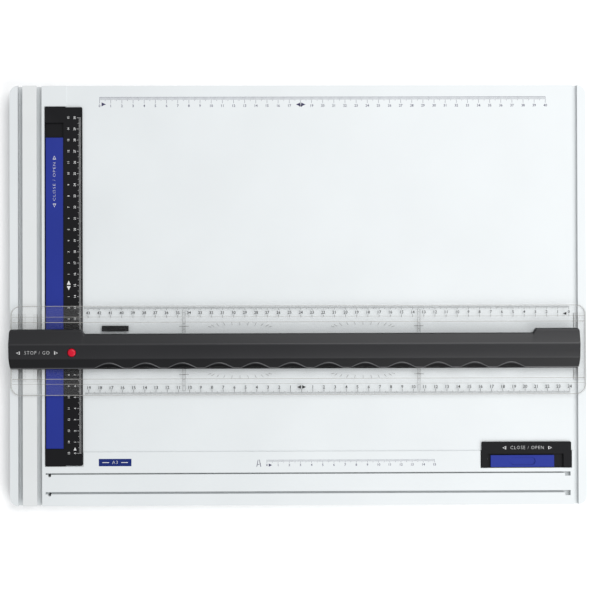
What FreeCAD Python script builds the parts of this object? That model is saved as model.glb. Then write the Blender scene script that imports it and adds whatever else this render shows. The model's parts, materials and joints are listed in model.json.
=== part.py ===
import FreeCAD, Part
import math
import os
import re
import Sketcher

# Portable A3 drawing board with a sliding parallel rule and two paper clamps.
# The origin is the middle of the board's outline at the feet's lowest level,
# +X runs along the long side, +Y away from the user and +Z up. Millimetres.

doc = FreeCAD.newDocument("portable_drawing_board")
dims = doc.addObject("Spreadsheet::Sheet", "dims")

BOARD_SIZES = {
    "board_length": 516, "board_width": 376, "board_corner": 8,
    "foot_height": 2, "foot_radius": 7, "foot_peg_radius": 2.4, "foot_inset": 24,
    "cover_thickness": 2, "skirt_lift": 0.4, "skirt_wall": 2.5, "nest_gap": 0.3,
    "field_top": 16, "ledge_height": 0.8, "rail_height": 2, "deck_skin": 2.5,
    "ledge_left": 50.5, "ledge_bottom": 48,
    "margin_left": 7.2, "margin_right": 7.7, "groove_left": 4.25, "groove_right": 4,
    "groove_right_depth": 3.5, "rail_head": 12.7, "rail_head_thick": 2,
    "rail_web": 6, "channel_depth": 7, "channel_skin": 2, "rail_screw_reach": 3.5,
    "rib": 2, "bays_across": 5, "bays_up": 4, "bay_wall": 4.5, "boss_radius": 4,
    "screw_shank": 1.15, "screw_pilot": 1.2, "screw_clear": 1.6, "pilot_spare": 0.5,
    "screw_head": 2.9, "screw_head_thick": 1, "head_gap": 0.2, "screw_reach": 8,
    "drive_length": 4, "drive_width": 0.5,
    "slot_depth": 4, "slot_skin": 2.5, "slot_left": 31.4, "slot_right": 14.6,
    "slot_upper_width": 1.3, "slot_upper": 28.6, "slot_lower_width": 2, "slot_lower": 11.5,
    "slot_hook": 5, "slot_hook_drop": 2.5,
    "pin_hole": 1.4, "pin_hole_inset": 3.6, "pin_hole_drop": 1.5,
    "close_gap": 0.05, "snug_gap": 0.1, "root": 0.2, "overrun": 1,
}
CLAMP_SIZES = {
    "well_depth": 8.5, "well_skin": 2, "well_gap": 0.4, "clamp_base_thick": 1.5,
    "clamp_lift": 1, "clamp_proud": 1.6, "jaw_thick": 3.7, "recess_depth": 2.2,
    "slider_drop": 0.5, "slider_gap": 0.2, "ramp_drop": 3, "ramp_gap": 0.1,
    "jaw_corner": 1.4, "jaw_lip_thick": 1.1, "jaw_lip_end": 0.4, "strip_thick": 0.4, "strip_width": 6,
    "strip_inset": 0.7, "strip_end": 1.5, "finger_length": 8, "finger_width": 7,
    "neck_length": 6, "neck_width": 3, "neck_root": 0.5, "slot_gap": 0.3,
    "bridge_drop": 1.9, "bridge_thick": 1.2, "bridge_length": 9.6, "bridge_width": 8.6,
    "lift_screw_radius": 1.1, "lift_screw_head": 2.6, "lift_screw_thread": 2.8,
    "lift_head_gap": 0.2, "lift_head_thick": 0.8, "rail_post": 7, "corner_post": 5,
    "clamp_coil": 1.9, "clamp_wire": 0.25, "clamp_turns": 3,
    "rail_length": 321.5, "rail_width": 17.8, "rail_lip": 15.8, "rail_middle": 8.35,
    "rail_inset": 31.4, "rail_travel": 13, "rail_slider_length": 278.3,
    "rail_slider_width": 15.7, "rail_slider_start": 15.6, "rail_slider_edge": 0.6,
    "rail_finger_pitch": 110,
    "corner_length": 81.2, "corner_width": 15, "corner_lip": 8.2, "corner_inset": 13.7,
    "corner_travel": 8, "corner_slider_length": 57, "corner_slider_width": 10.6,
    "corner_slider_start": 8.6, "corner_slider_edge": 0.4, "corner_finger_pitch": 30,
    "corner_recess_near": 1.5, "corner_recess_far": 1.3, "corner_recess_start": 2.7,
    "corner_fixing_spread": 4.5,
    "dish_length": 23, "dish_width": 7, "dish_depth": 0.8,
}
RULE_SIZES = {
    "rule_middle": -49.2, "blade_clear": 1, "blade_thick": 3, "blade_inset": 1,
    "blade_width": 80.4, "blade_corner": 8.5, "bevel_width": 15, "blade_edge": 1.4,
    "shoe_gap": 0.3, "shoe_length": 60, "flange_thick": 0.8, "hook_reach": 2.5,
    "hook_thick": 2, "fin_depth": 2.9, "stud_radius": 1.5, "stud_spread": 3.5,
    "stud_gap": 0.1, "outer_stud_inset": 0.5, "inner_stud_offset": 0.4,
    "brake_room": 3.4, "outer_reach": 5.2, "right_flange_start": 0.8, "right_flange_end": 2,
    "carrier_offset": 2.7, "carrier_start": 9, "carrier_end": 9.7, "foot_half": 6.5,
    "foot_thick": 1.2, "flange_half": 9.5, "carrier_thick": 2.2, "carrier_floor": 0.6,
    "carrier_pitch": 90, "carrier_bite": 1.6,
    "grip_start": 0.6, "grip_end": 7.6, "grip_back": 15.3, "grip_front": 16.3,
    "grip_block": 4, "left_block": 64, "right_block": 39.4, "block_slope": 2.6,
    "grip_clear": 0.3, "roof_gap": 0.15, "roof_thick": 2.3, "grip_wall": 1.7,
    "grip_crown": 5.7, "grip_crease": 6.5, "crease_drop": 0.4, "nose_drop": 3.7,
    "back_drop": 1.7, "back_chamfer": 0.9, "grip_corner": 3, "grip_corner_across": 2.4,
    "grip_travel": 6, "slide_gap": 0.3, "grip_lip_gap": 0.25, "flange_gap": 0.4,
    "scallop_pitch": 32.5, "scallop_width": 25, "scallop_depth": 4.5,
    "scallop_start": 88.8, "scallop_rim": 0.9,
    "brake_lift": 0.8, "brake_head": 6, "brake_head_thick": 1.05, "brake_spring_room": 1.3,
    "brake_stem": 2, "brake_pad_radius": 2.5, "brake_pad_thick": 0.95,
    "brake_coil": 2.7, "brake_wire": 0.15, "brake_turns": 2,
    "button_place": 56.1, "button_offset": 1.4, "button_radius": 3.7,
    "button_gap": 0.15, "button_proud": 0.4, "button_travel": 1.5, "button_collar": 4.5,
    "collar_thick": 0.8, "collar_gap": 0.1, "button_stem": 1.5, "button_tip_gap": 1.05,
    "lock_gap": 0.2, "spring_solid": 0.3, "retainer_gap": 0.4, "retainer_thick": 0.6,
    "retainer_half": 6.2, "retainer_width": 5, "post_radius": 1, "peg_radius": 0.6,
    "post_across": 4.6, "post_along": 4.3,
    "button_coil": 2.6, "button_wire": 0.15, "button_turns": 3,
}

row = 0
for group in (BOARD_SIZES, CLAMP_SIZES, RULE_SIZES):
    for name, size in group.items():
        row += 1
        dims.set(f"A{row}", name)
        dims.set(f"B{row}", str(size))
        dims.setAlias(f"B{row}", name)
doc.recompute()

NAMES = {**BOARD_SIZES, **CLAMP_SIZES, **RULE_SIZES}
LEVELS = {
    "cover_top": "(foot_height + cover_thickness)",
    "skirt_under": "(foot_height + skirt_lift)",
    "ledge_top": "(field_top + ledge_height)",
    "rail_top": "(field_top + rail_height)",
    "channel_left": "(margin_left - board_length / 2)",
    "head_left": "(channel_left + groove_left)",
    "head_right": "(head_left + rail_head)",
    "channel_right": "(head_right + groove_left)",
    "channel_floor": "(rail_top - channel_depth)",
    "rail_centre": "(head_left + rail_head / 2)",
    "right_groove_end": "(board_length / 2 - margin_right)",
    "right_groove_start": "(right_groove_end - groove_right)",
    "well_left": "(rail_clamp_x - rail_width / 2 - well_gap)",
    "well_right": "(rail_clamp_x + rail_width / 2 + well_gap)",
    "rail_clamp_x": "(rail_inset + rail_width / 2 - board_length / 2)",
    "corner_clamp_x": "(board_length / 2 - corner_inset - corner_length / 2)",
    "corner_clamp_y": "(ledge_bottom - board_width / 2 - corner_width / 2)",
    "clamp_top": "(field_top + clamp_proud)",
    "well_floor": "(field_top - well_depth)",
    "jaw_under": "(clamp_top - jaw_thick)",
    "recess_floor": "(clamp_top - recess_depth)",
    "slider_top": "(clamp_top - slider_drop)",
    "ramp_start": "(jaw_under - ramp_drop)",
    "bridge_under": "(jaw_under - bridge_drop)",
    "lift_head_level": "(well_floor + lift_head_gap)",
    "blade_under": "(rail_top + blade_clear)",
    "blade_top": "(blade_under + blade_thick)",
    "blade_length": "(board_length - 2 * blade_inset)",
    "carrier_y": "(rule_middle + carrier_offset)",
    "carrier_left": "(carrier_start - board_length / 2)",
    "carrier_right": "(board_length / 2 - carrier_end)",
    "carrier_top": "(blade_top + carrier_thick)",
    "grip_left": "(grip_start - board_length / 2)",
    "grip_length": "(board_length - grip_start - grip_end)",
    "grip_right": "(grip_left + grip_length)",
    "grip_under": "(blade_top + grip_clear)",
    "grip_lip_top": "(blade_top + foot_thick - grip_lip_gap)",
    "brake_slope": "(brake_lift / grip_travel)",
    "window_floor": "(blade_top + carrier_floor)",
    "brake_head_under": "(window_floor + brake_spring_room)",
    "brake_top": "(brake_head_under + brake_head_thick)",
    "raised_brake": "(brake_top + brake_lift + brake_head / 2 * brake_slope)",
    "retainer_level": "(window_floor + retainer_gap)",
    "collar_under": "(retainer_level + retainer_thick + button_travel + spring_solid)",
    "button_tip": "(window_floor + button_tip_gap)",
    "grip_roof": "(max(raised_brake + roof_gap; collar_under + collar_thick + collar_gap))",
    "grip_top": "(grip_roof + roof_thick)",
    "grip_nose": "(grip_top - nose_drop)",
    "back_edge": "(rule_middle + grip_back)",
    "front_edge": "(rule_middle - grip_front)",
    "button_x": "(grip_left + button_place)",
    "button_y": "(rule_middle - button_offset)",
    "outer_stud": "(head_left + outer_stud_inset)",
    "inner_stud": "(head_right + inner_stud_offset)",
}


def spelled(text):
    """An expression with every worked-out level written in terms of the sheet's own sizes."""
    while any(re.search(rf"\b{level}\b", text) for level in LEVELS):
        for level, meaning in LEVELS.items():
            text = re.sub(rf"\b{level}\b", meaning, text)
    return text


def tied(text):
    """The same expression as other objects write it, with the sheet's name before each size."""
    return re.sub(r"\b[a-z_]+\b", lambda word: "dims." + word.group() if word.group() in NAMES
                  else word.group(), spelled(text))


def value(text):
    """The number an expression gives now."""
    return float(dims.evalExpression(spelled(text)))


def new_body(label):
    body = doc.addObject("PartDesign::Body", label)
    body.Label = label
    return body


def sketch(body, name, level="0", role="XY_Plane"):
    drawn = body.newObject("Sketcher::SketchObject", name)
    plane = [datum for datum in body.Origin.OriginFeatures if datum.Role == role][0]
    drawn.AttachmentSupport = (plane, [""])
    drawn.MapMode = "FlatFace"
    drawn.setExpression("AttachmentOffset.Base.z", tied(level))
    return drawn


def hold_point(drawn, edge, end, point):
    for kind, text in zip(("DistanceX", "DistanceY"), point):
        number = drawn.addConstraint(Sketcher.Constraint(kind, edge, end, value(text)))
        drawn.setExpression(f"Constraints[{number}]", tied(text))


def draw_outline(drawn, points):
    """A closed outline with straight sides through the given points."""
    first = drawn.GeometryCount
    count = len(points)
    spots = [FreeCAD.Vector(value(across), value(up), 0) for across, up in points]
    for side in range(count):
        drawn.addGeometry(Part.LineSegment(spots[side], spots[(side + 1) % count]))
    for side in range(count):
        follower = first + (side + 1) % count
        drawn.addConstraint(Sketcher.Constraint("Coincident", first + side, 2, follower, 1))
        hold_point(drawn, first + side, 1, points[side])


def draw_box(drawn, left, right, low, high):
    draw_outline(drawn, [(left, low), (right, low), (right, high), (left, high)])


def draw_circle(drawn, across, up, radius):
    centre = FreeCAD.Vector(value(across), value(up), 0)
    ring = drawn.addGeometry(Part.Circle(centre, FreeCAD.Vector(0, 0, 1), value(radius)))
    hold_point(drawn, ring, 3, (across, up))
    number = drawn.addConstraint(Sketcher.Constraint("Radius", ring, value(radius)))
    drawn.setExpression(f"Constraints[{number}]", tied(radius))


def draw_oval(drawn, across, up, length, width):
    """A slot with round ends, long side along the sketch's first direction."""
    reach = f"(({length}) - ({width})) / 2"
    radius = f"({width}) / 2"
    first = drawn.GeometryCount
    for side, turn in ((1, -math.pi / 2), (-1, math.pi / 2)):
        centre = FreeCAD.Vector(value(f"{across} + {side} * {reach}"), value(up), 0)
        ring = Part.Circle(centre, FreeCAD.Vector(0, 0, 1), value(radius))
        drawn.addGeometry(Part.ArcOfCircle(ring, turn, turn + math.pi))
    for start, end in ((0, 1), (1, 0)):
        leave = drawn.Geometry[first + start].EndPoint
        reach_to = drawn.Geometry[first + end].StartPoint
        drawn.addGeometry(Part.LineSegment(leave, reach_to))
    for side, line, turn in ((0, 2, 1), (1, 3, -1)):
        hold_point(drawn, first + side, 3, (f"{across} + {turn} * {reach}", up))
        drawn.addConstraint(Sketcher.Constraint("Tangent", first + side, 2, first + line, 1))
        drawn.addConstraint(Sketcher.Constraint("Tangent", first + line, 2, first + 1 - side, 1))
    number = drawn.addConstraint(Sketcher.Constraint("Radius", first, value(radius)))
    drawn.setExpression(f"Constraints[{number}]", tied(radius))


def pad(body, drawn, length):
    grown = body.newObject("PartDesign::Pad", drawn.Name + "_pad")
    grown.Profile = drawn
    grown.setExpression("Length", tied(length))
    return grown


def pocket(body, drawn, depth, upward=False):
    cut = body.newObject("PartDesign::Pocket", drawn.Name + "_pocket")
    cut.Profile = drawn
    cut.Reversed = upward
    cut.setExpression("Length", tied(depth))
    return cut


def block(body, name, left, right, low, high, under, top):
    drawn = sketch(body, name, under)
    draw_box(drawn, left, right, low, high)
    return pad(body, drawn, f"({top}) - ({under})")


def hollow(body, name, left, right, low, high, top, floor):
    drawn = sketch(body, name, top)
    draw_box(drawn, left, right, low, high)
    return pocket(body, drawn, f"({top}) - ({floor})")


def bay(body, name, left, right, low, high, under, roof):
    drawn = sketch(body, name, under)
    draw_box(drawn, left, right, low, high)
    return pocket(body, drawn, f"({roof}) - ({under})", upward=True)


def holes(body, name, spots, radius, top, floor):
    drawn = sketch(body, name, top)
    for across, up in spots:
        draw_circle(drawn, across, up, radius)
    return pocket(body, drawn, f"({top}) - ({floor})")


def pins(body, name, spots, radius, under, top):
    drawn = sketch(body, name, under)
    for across, up in spots:
        draw_circle(drawn, across, up, radius)
    return pad(body, drawn, f"({top}) - ({under})")


def round_upright_edges(body, radius, chosen):
    """Round the straight upright edges for which chosen(x, y) is true."""
    doc.recompute()
    base = body.Tip
    names = []
    for number, edge in enumerate(base.Shape.Edges, 1):
        low, high = edge.Vertexes[0].Point, edge.Vertexes[-1].Point
        upright = abs(low.x - high.x) < 1e-4 and abs(low.y - high.y) < 1e-4
        if upright and abs(low.z - high.z) > 1e-3 and chosen(low.x, low.y):
            names.append(f"Edge{number}")
    rounded = body.newObject("PartDesign::Fillet", body.Name + "_rounded")
    rounded.Base = (base, names)
    rounded.setExpression("Radius", tied(radius))


def screws(label, spots, shank, head, head_under, head_top, tip):
    """A set of pan-head screws with slotted heads, pointing up or down from the head."""
    body = new_body(label)
    low, high = sorted((head_under, tip), key=value)
    head_low, head_high = sorted((head_under, head_top), key=value)
    pins(body, label + "_heads", spots, head, head_low, head_high)
    pins(body, label + "_shanks", spots, shank, low, high)
    outside = sketch(body, label + "_slots", head_top)
    for across, up in spots:
        draw_box(outside, f"{across} - drive_length / 2", f"{across} + drive_length / 2",
                 f"{up} - drive_width / 2", f"{up} + drive_width / 2")
    pocket(body, outside, f"(({head_high}) - ({head_low})) / 2",
           upward=value(head_top) < value(head_under))
    return body


def coil_springs(label, spots, coil, wire, under, top, turns):
    """Compression springs: wire with a six-sided section wound on a helix, one at each spot."""
    steps_a_turn = 14
    coil_radius, wire_radius = value(coil), value(wire)
    start = value(under) + wire_radius
    height = value(top) - wire_radius - start
    steps = steps_a_turn * round(value(turns))
    rings = []
    for step in range(steps + 1):
        angle = step / steps_a_turn * 2 * math.pi
        outward = FreeCAD.Vector(math.cos(angle), math.sin(angle), 0)
        centre = outward * coil_radius + FreeCAD.Vector(0, 0, start + height * step / steps)
        rings.append([centre + outward * wire_radius * math.cos(side * math.pi / 3)
                      + FreeCAD.Vector(0, 0, wire_radius * math.sin(side * math.pi / 3))
                      for side in range(6)])
    facets = [(rings[0][0], rings[0][side + 1], rings[0][side]) for side in range(1, 5)]
    facets += [(rings[-1][0], rings[-1][side], rings[-1][side + 1]) for side in range(1, 5)]
    for low, high in zip(rings, rings[1:]):
        for side in range(6):
            after = (side + 1) % 6
            facets.append((low[side], low[after], high[after]))
            facets.append((low[side], high[after], high[side]))
    shell = Part.Shell([Part.Face(Part.makePolygon([*corners, corners[0]])) for corners in facets])
    winding = Part.Solid(shell)
    if winding.Volume < 0:
        winding.reverse()
    springs = doc.addObject("Part::Feature", label)
    springs.Label = label
    springs.Shape = Part.Compound([winding.translated(FreeCAD.Vector(value(across), value(up), 0))
                                   for across, up in spots])
    return springs


def build_deck():
    """The upper shell: one white moulding with the paper field, ledges, grooves and wells."""
    deck = new_body("deck_shell")
    half_length, half_width = "board_length / 2", "board_width / 2"
    block(deck, "deck_outline", f"-{half_length}", half_length, f"-{half_width}", half_width,
          "skirt_under", "rail_top")
    round_upright_edges(deck, "board_corner", lambda across, up: True)
    hollow(deck, "ledge_area", "channel_right", "right_groove_start", f"-{half_width}", half_width,
           "rail_top", "ledge_top")
    hollow(deck, "paper_field", "ledge_left - board_length / 2", "right_groove_start",
           "ledge_bottom - board_width / 2", half_width, "ledge_top", "field_top")
    hollow(deck, "rail_channel", "channel_left", "channel_right", f"-{half_width}", half_width,
           "rail_top", "channel_floor")
    hollow(deck, "right_groove", "right_groove_start", "right_groove_end", f"-{half_width}",
           half_width, "rail_top", "rail_top - groove_right_depth")

    rail_low = "rail_middle - rail_length / 2 - well_gap"
    rail_high = "rail_middle + rail_length / 2 + well_gap"
    hollow(deck, "rail_lip_bed", "well_right", "well_right + rail_lip", rail_low, rail_high,
           "ledge_top", "field_top")
    hollow(deck, "rail_well", "well_left", "well_right", rail_low, rail_high,
           "ledge_top", "well_floor")
    corner_left = "corner_clamp_x - corner_length / 2 - well_gap"
    corner_right = "corner_clamp_x + corner_length / 2 + well_gap"
    corner_low = "corner_clamp_y - corner_width / 2 - well_gap"
    corner_high = "corner_clamp_y + corner_width / 2 + well_gap"
    hollow(deck, "corner_well", corner_left, corner_right, corner_low, corner_high,
           "ledge_top", "well_floor")

    left, right = "slot_left - board_length / 2", "board_length / 2 - slot_right"
    for which in ("slot_upper", "slot_lower"):
        middle = f"{which} - board_width / 2"
        low, high = f"{middle} - {which}_width / 2", f"{middle} + {which}_width / 2"
        hollow(deck, which, left, right, low, high, "ledge_top", "ledge_top - slot_depth")
        hollow(deck, which + "_hook", f"{right} - slot_hook", right, f"{low} - slot_hook_drop",
               high, "ledge_top", "ledge_top - slot_depth")
        holes(deck, which + "_pin_hole", [(f"{left} + pin_hole_inset", f"{middle} - pin_hole_drop")],
              "pin_hole", "ledge_top", "ledge_top - slot_depth - slot_skin - overrun")

    seat_x, seat_y = "board_length / 2 - skirt_wall", "board_width / 2 - skirt_wall"
    under = "skirt_under"
    bay(deck, "cover_seat", f"-({seat_x})", seat_x, f"-({seat_y})", seat_y, under, "cover_top")
    round_upright_edges(deck, "board_corner - skirt_wall",
                        lambda across, up: abs(abs(across) - value(seat_x)) < 0.01
                        and abs(abs(up) - value(seat_y)) < 0.01)
    inner_x, inner_y = "board_length / 2 - bay_wall", "board_width / 2 - bay_wall"
    field_roof = "field_top - deck_skin"
    bay_left = "well_right + skirt_wall"
    bay_right = "right_groove_start - skirt_wall"
    bay_low = f"{corner_high} + skirt_wall"
    grid = sketch(deck, "field_bays", under)
    wide = f"(({bay_right}) - ({bay_left}) - (bays_across - 1) * rib) / bays_across"
    tall = f"(({inner_y}) - ({bay_low}) - (bays_up - 1) * rib) / bays_up"
    for column in range(BOARD_SIZES["bays_across"]):
        for step in range(BOARD_SIZES["bays_up"]):
            start = f"{bay_left} + {column} * ({wide} + rib)"
            base = f"{bay_low} + {step} * ({tall} + rib)"
            draw_box(grid, start, f"{start} + {wide}", base, f"{base} + {tall}")
    pocket(deck, grid, f"{field_roof} - ({under})", upward=True)
    bay(deck, "slot_bay", "well_left", bay_right, f"-({inner_y})", f"{corner_low} - skirt_wall",
        under, "ledge_top - slot_depth - slot_skin")
    bay(deck, "ledge_bay", bay_left, f"{corner_left} - skirt_wall", corner_low,
        f"{corner_high}", under, field_roof)
    bay(deck, "channel_bay", f"-({inner_x})", "well_left - skirt_wall", f"-({inner_y})", inner_y,
        under, "channel_floor - channel_skin")
    bay(deck, "edge_bay", "right_groove_start", inner_x, f"-({inner_y})", inner_y,
        under, "rail_top - groove_right_depth - channel_skin")
    bay(deck, "rail_well_bay", "well_left", "well_right", rail_low, rail_high,
        under, "well_floor - well_skin")
    bay(deck, "corner_well_bay", corner_left, corner_right, corner_low, corner_high,
        under, "well_floor - well_skin")

    crossings = [(f"{bay_left} + {column} * ({wide} + rib) - rib / 2",
                  f"{bay_low} + {step} * ({tall} + rib) - rib / 2")
                 for column in range(1, BOARD_SIZES["bays_across"])
                 for step in range(1, BOARD_SIZES["bays_up"])]
    pins(deck, "cover_bosses", crossings, "boss_radius", "cover_top", f"{field_roof} + root")
    boss_pilots = sketch(deck, "boss_pilots", "cover_top")
    for across, up in crossings:
        draw_circle(boss_pilots, across, up, "screw_pilot")
    pocket(deck, boss_pilots, "screw_reach + pilot_spare", upward=True)
    rail_spots = [("rail_centre", f"{step} * board_width / 5") for step in (-2, -1, 0, 1, 2)]
    holes(deck, "rail_screw_holes", rail_spots, "screw_clear",
          "channel_floor", "channel_floor - channel_skin")
    rail_fixings = [(f"rail_clamp_x - {up}", f"rail_middle + {across}")
                    for across, up in RAIL_CLAMP["fixings"]]
    corner_fixings = [(f"corner_clamp_x + {across}", f"corner_clamp_y + {up}")
                      for across, up in CORNER_CLAMP["fixings"]]
    holes(deck, "clamp_pilots", rail_fixings + corner_fixings, "screw_pilot",
          "well_floor", "well_floor - well_skin")

    cover = new_body("base_cover")
    edge_x = "board_length / 2 - skirt_wall - nest_gap"
    edge_y = "board_width / 2 - skirt_wall - nest_gap"
    block(cover, "cover_plate", f"-({edge_x})", edge_x, f"-({edge_y})", edge_y,
          "foot_height", "cover_top")
    round_upright_edges(cover, "board_corner - skirt_wall", lambda across, up: True)
    holes(cover, "cover_screw_holes", crossings, "screw_clear", "cover_top", "foot_height")
    seats = sketch(cover, "cover_screw_seats", "foot_height")
    for across, up in crossings:
        draw_circle(seats, across, up, "screw_head + head_gap")
    pocket(cover, seats, "screw_head_thick", upward=True)
    corners = [(f"{side} * (board_length / 2 - foot_inset)", f"{end} * (board_width / 2 - foot_inset)")
               for side in (-1, 1) for end in (-1, 1)]
    holes(cover, "foot_sockets", corners, "foot_peg_radius + snug_gap", "cover_top", "foot_height")
    screws("cover_screws", crossings, "screw_shank", "screw_head", "foot_height + screw_head_thick",
           "foot_height + close_gap", "cover_top + screw_reach")

    for label, spot in zip(("foot_front_left", "foot_rear_left", "foot_front_right",
                            "foot_rear_right"), corners):
        foot = new_body(label)
        pins(foot, label + "_disc", [spot], "foot_radius", "0", "foot_height")
        pins(foot, label + "_peg", [spot], "foot_peg_radius", "foot_height", "cover_top")

    rail = new_body("guide_rail")
    section = sketch(rail, "rail_section", "-board_width / 2", "XZ_Plane")
    web_left, web_right = "rail_centre - rail_web / 2", "rail_centre + rail_web / 2"
    neck = "rail_top - rail_head_thick"
    draw_outline(section, [(web_left, "channel_floor"), (web_right, "channel_floor"),
                           (web_right, neck), ("head_right", neck), ("head_right", "rail_top"),
                           ("head_left", "rail_top"), ("head_left", neck), (web_left, neck)])
    pad(rail, section, "board_width")
    pilots = sketch(rail, "rail_pilot_holes", "channel_floor")
    for across, up in rail_spots:
        draw_circle(pilots, across, up, "screw_pilot")
    pocket(rail, pilots, "rail_screw_reach + pilot_spare", upward=True)
    screws("guide_rail_screws", rail_spots, "screw_shank", "screw_head",
           "channel_floor - channel_skin", "channel_floor - channel_skin - screw_head_thick",
           "channel_floor + rail_screw_reach")


def place(piece, clamp):
    """Put a clamp's piece, made along X about its own middle, where the clamp lies."""
    piece.Placement = FreeCAD.Placement(FreeCAD.Vector(0, 0, 0),
                                        FreeCAD.Rotation(FreeCAD.Vector(0, 0, 1), clamp["turn"]))
    piece.setExpression("Placement.Base.x", tied(clamp["x"]))
    piece.setExpression("Placement.Base.y", tied(clamp["y"]))


def across_clamp(clamp, near, far):
    """Two distances measured from the housing's middle towards the lip, low one first."""
    if clamp["lip_side"] > 0:
        return near, far
    return f"-({far})", f"-({near})"


def build_clamp(clamp):
    """A paper clamp: sliding the blue plate to OPEN drives its fingers up the fixed ramps,
    which lifts the black jaw and its scale lip off the paper."""
    which, name = clamp["sizes"], clamp["name"]
    half, wide = f"{which}_length / 2", f"{which}_width / 2"
    travel = f"{which}_travel"
    base_top = "well_floor + clamp_base_thick"
    slope = f"(clamp_lift / {travel})"
    reach = "finger_length / 2"
    ends = [f"{side} * ({half} - {which}_post)" for side in (-1, 1)]

    base = new_body(name + "_base")
    block(base, name + "_base_strip", f"-({half})", half, f"-({wide})", wide, "well_floor", base_top)
    for number, end in enumerate(ends):
        block(base, f"{name}_bridge_{number}", f"{end} - bridge_length / 2",
              f"{end} + bridge_length / 2", "-bridge_width / 2", "bridge_width / 2",
              "well_floor", "bridge_under + bridge_thick")
        room = "lift_screw_head + slot_gap"
        bay(base, f"{name}_tunnel_{number}", f"{end} - ({room})", f"{end} + ({room})",
            f"-({wide}) - overrun", f"{wide} + overrun", "well_floor", "bridge_under")
    holes(base, name + "_bridge_holes", [(end, "0") for end in ends],
          "lift_screw_radius + slot_gap", "bridge_under + bridge_thick", "bridge_under")
    for number, finger in enumerate(clamp["fingers"]):
        start = f"{finger} - {reach} - overrun"
        end = f"{finger} + {reach} + {travel} + overrun"
        ramp = sketch(base, f"{name}_ramp_{number}", "-finger_width / 2", "XZ_Plane")
        draw_outline(ramp, [(start, base_top), (end, base_top),
                            (end, f"ramp_start + ({reach} + {travel} + overrun) * {slope}"),
                            (start, f"ramp_start - ({reach} + overrun) * {slope}")])
        pad(base, ramp, "finger_width")
    holes(base, name + "_fixing_holes", clamp["fixings"], "screw_clear", base_top, "well_floor")
    place(base, clamp)
    fixings = screws(name + "_base_screws", clamp["fixings"], "screw_shank", "screw_head",
                     base_top, f"{base_top} + screw_head_thick", "well_floor - well_skin + snug_gap")
    place(fixings, clamp)

    jaw = new_body(name + "_jaw")
    block(jaw, name + "_housing", f"-({half})", half, f"-({wide})", wide, "jaw_under", "clamp_top")
    lip_low, lip_high = across_clamp(clamp, f"{wide} - overrun", f"{wide} + {which}_lip")
    block(jaw, name + "_lip", f"-({half}) + jaw_lip_end", f"{half} - jaw_lip_end", lip_low,
          lip_high, "clamp_top - jaw_lip_thick", "clamp_top")
    side = clamp["lip_side"]
    corners = [(value(half), -side * value(wide)),
               (value(f"{half} - jaw_lip_end"), side * value(f"{wide} + {which}_lip"))]
    round_upright_edges(jaw, "jaw_corner",
                        lambda across, up: any(abs(abs(across) - end) < 0.01 and abs(up - edge) < 0.01
                                               for end, edge in corners))
    plate_start = f"{which}_slider_start - {half}"
    plate_end = f"{plate_start} + {which}_slider_length"
    near = f"{which}_slider_edge - {wide}"
    far = f"{near} + {which}_slider_width"
    recess_low, recess_high = across_clamp(clamp, f"{near} - {clamp['recess_near']}",
                                           f"{far} + {clamp['recess_far']}")
    hollow(jaw, name + "_recess", f"{plate_start} - {clamp['recess_start']}",
           f"{plate_end} + {travel} + slider_gap", recess_low, recess_high,
           "clamp_top", "recess_floor")
    for number, finger in enumerate(clamp["fingers"]):
        hollow(jaw, f"{name}_finger_slot_{number}", f"{finger} - neck_length / 2 - slot_gap",
               f"{finger} + neck_length / 2 + {travel} + slot_gap", "-neck_width / 2 - slot_gap",
               "neck_width / 2 + slot_gap", "recess_floor", "jaw_under")
    threads = sketch(jaw, name + "_threads", "jaw_under")
    for end in ends:
        draw_circle(threads, end, "0", "lift_screw_radius + close_gap")
    pocket(jaw, threads, "lift_screw_thread + root", upward=True)
    place(jaw, clamp)

    strip = new_body(name + "_rubber_strip")
    strip_low, strip_high = across_clamp(
        clamp, f"{wide} + {which}_lip - strip_inset - strip_width",
        f"{wide} + {which}_lip - strip_inset")
    block(strip, name + "_strip", f"-({half}) + strip_end", f"{half} - strip_end", strip_low,
          strip_high, "clamp_top - jaw_lip_thick - strip_thick", "clamp_top - jaw_lip_thick")
    place(strip, clamp)

    lifting = screws(name + "_lift_screws", [(end, "0") for end in ends], "lift_screw_radius",
                     "lift_screw_head", "lift_head_level + lift_head_thick", "lift_head_level",
                     "jaw_under + lift_screw_thread")
    place(lifting, clamp)
    springs = coil_springs(name + "_springs", [(end, "0") for end in ends], "clamp_coil",
                           "clamp_wire", "lift_head_level + lift_head_thick", "bridge_under",
                           "clamp_turns")
    place(springs, clamp)

    slider = new_body(name + "_slider")
    plate_low, plate_high = across_clamp(clamp, near, far)
    block(slider, name + "_plate", plate_start, plate_end, plate_low, plate_high,
          "recess_floor + slider_gap", "slider_top")
    ear_top = "jaw_under - slot_gap"
    for number, finger in enumerate(clamp["fingers"]):
        block(slider, f"{name}_neck_{number}", f"{finger} - neck_length / 2",
              f"{finger} + neck_length / 2", "-neck_width / 2", "neck_width / 2",
              f"{ear_top} - neck_root", "recess_floor + slider_gap + root")
        ear = sketch(slider, f"{name}_ear_{number}", "-finger_width / 2", "XZ_Plane")
        foot = "ramp_start + ramp_gap"
        draw_outline(ear, [(f"{finger} - {reach}", f"{foot} - {reach} * {slope}"),
                           (f"{finger} + {reach}", f"{foot} + {reach} * {slope}"),
                           (f"{finger} + {reach}", ear_top), (f"{finger} - {reach}", ear_top)])
        pad(slider, ear, "finger_width")
    if clamp["dished"]:
        dish = sketch(slider, name + "_dish", "slider_top")
        draw_oval(dish, f"({plate_start} + {plate_end}) / 2", f"({plate_low} + {plate_high}) / 2",
                  "dish_length", "dish_width")
        pocket(slider, dish, "dish_depth")
    place(slider, clamp)


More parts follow.
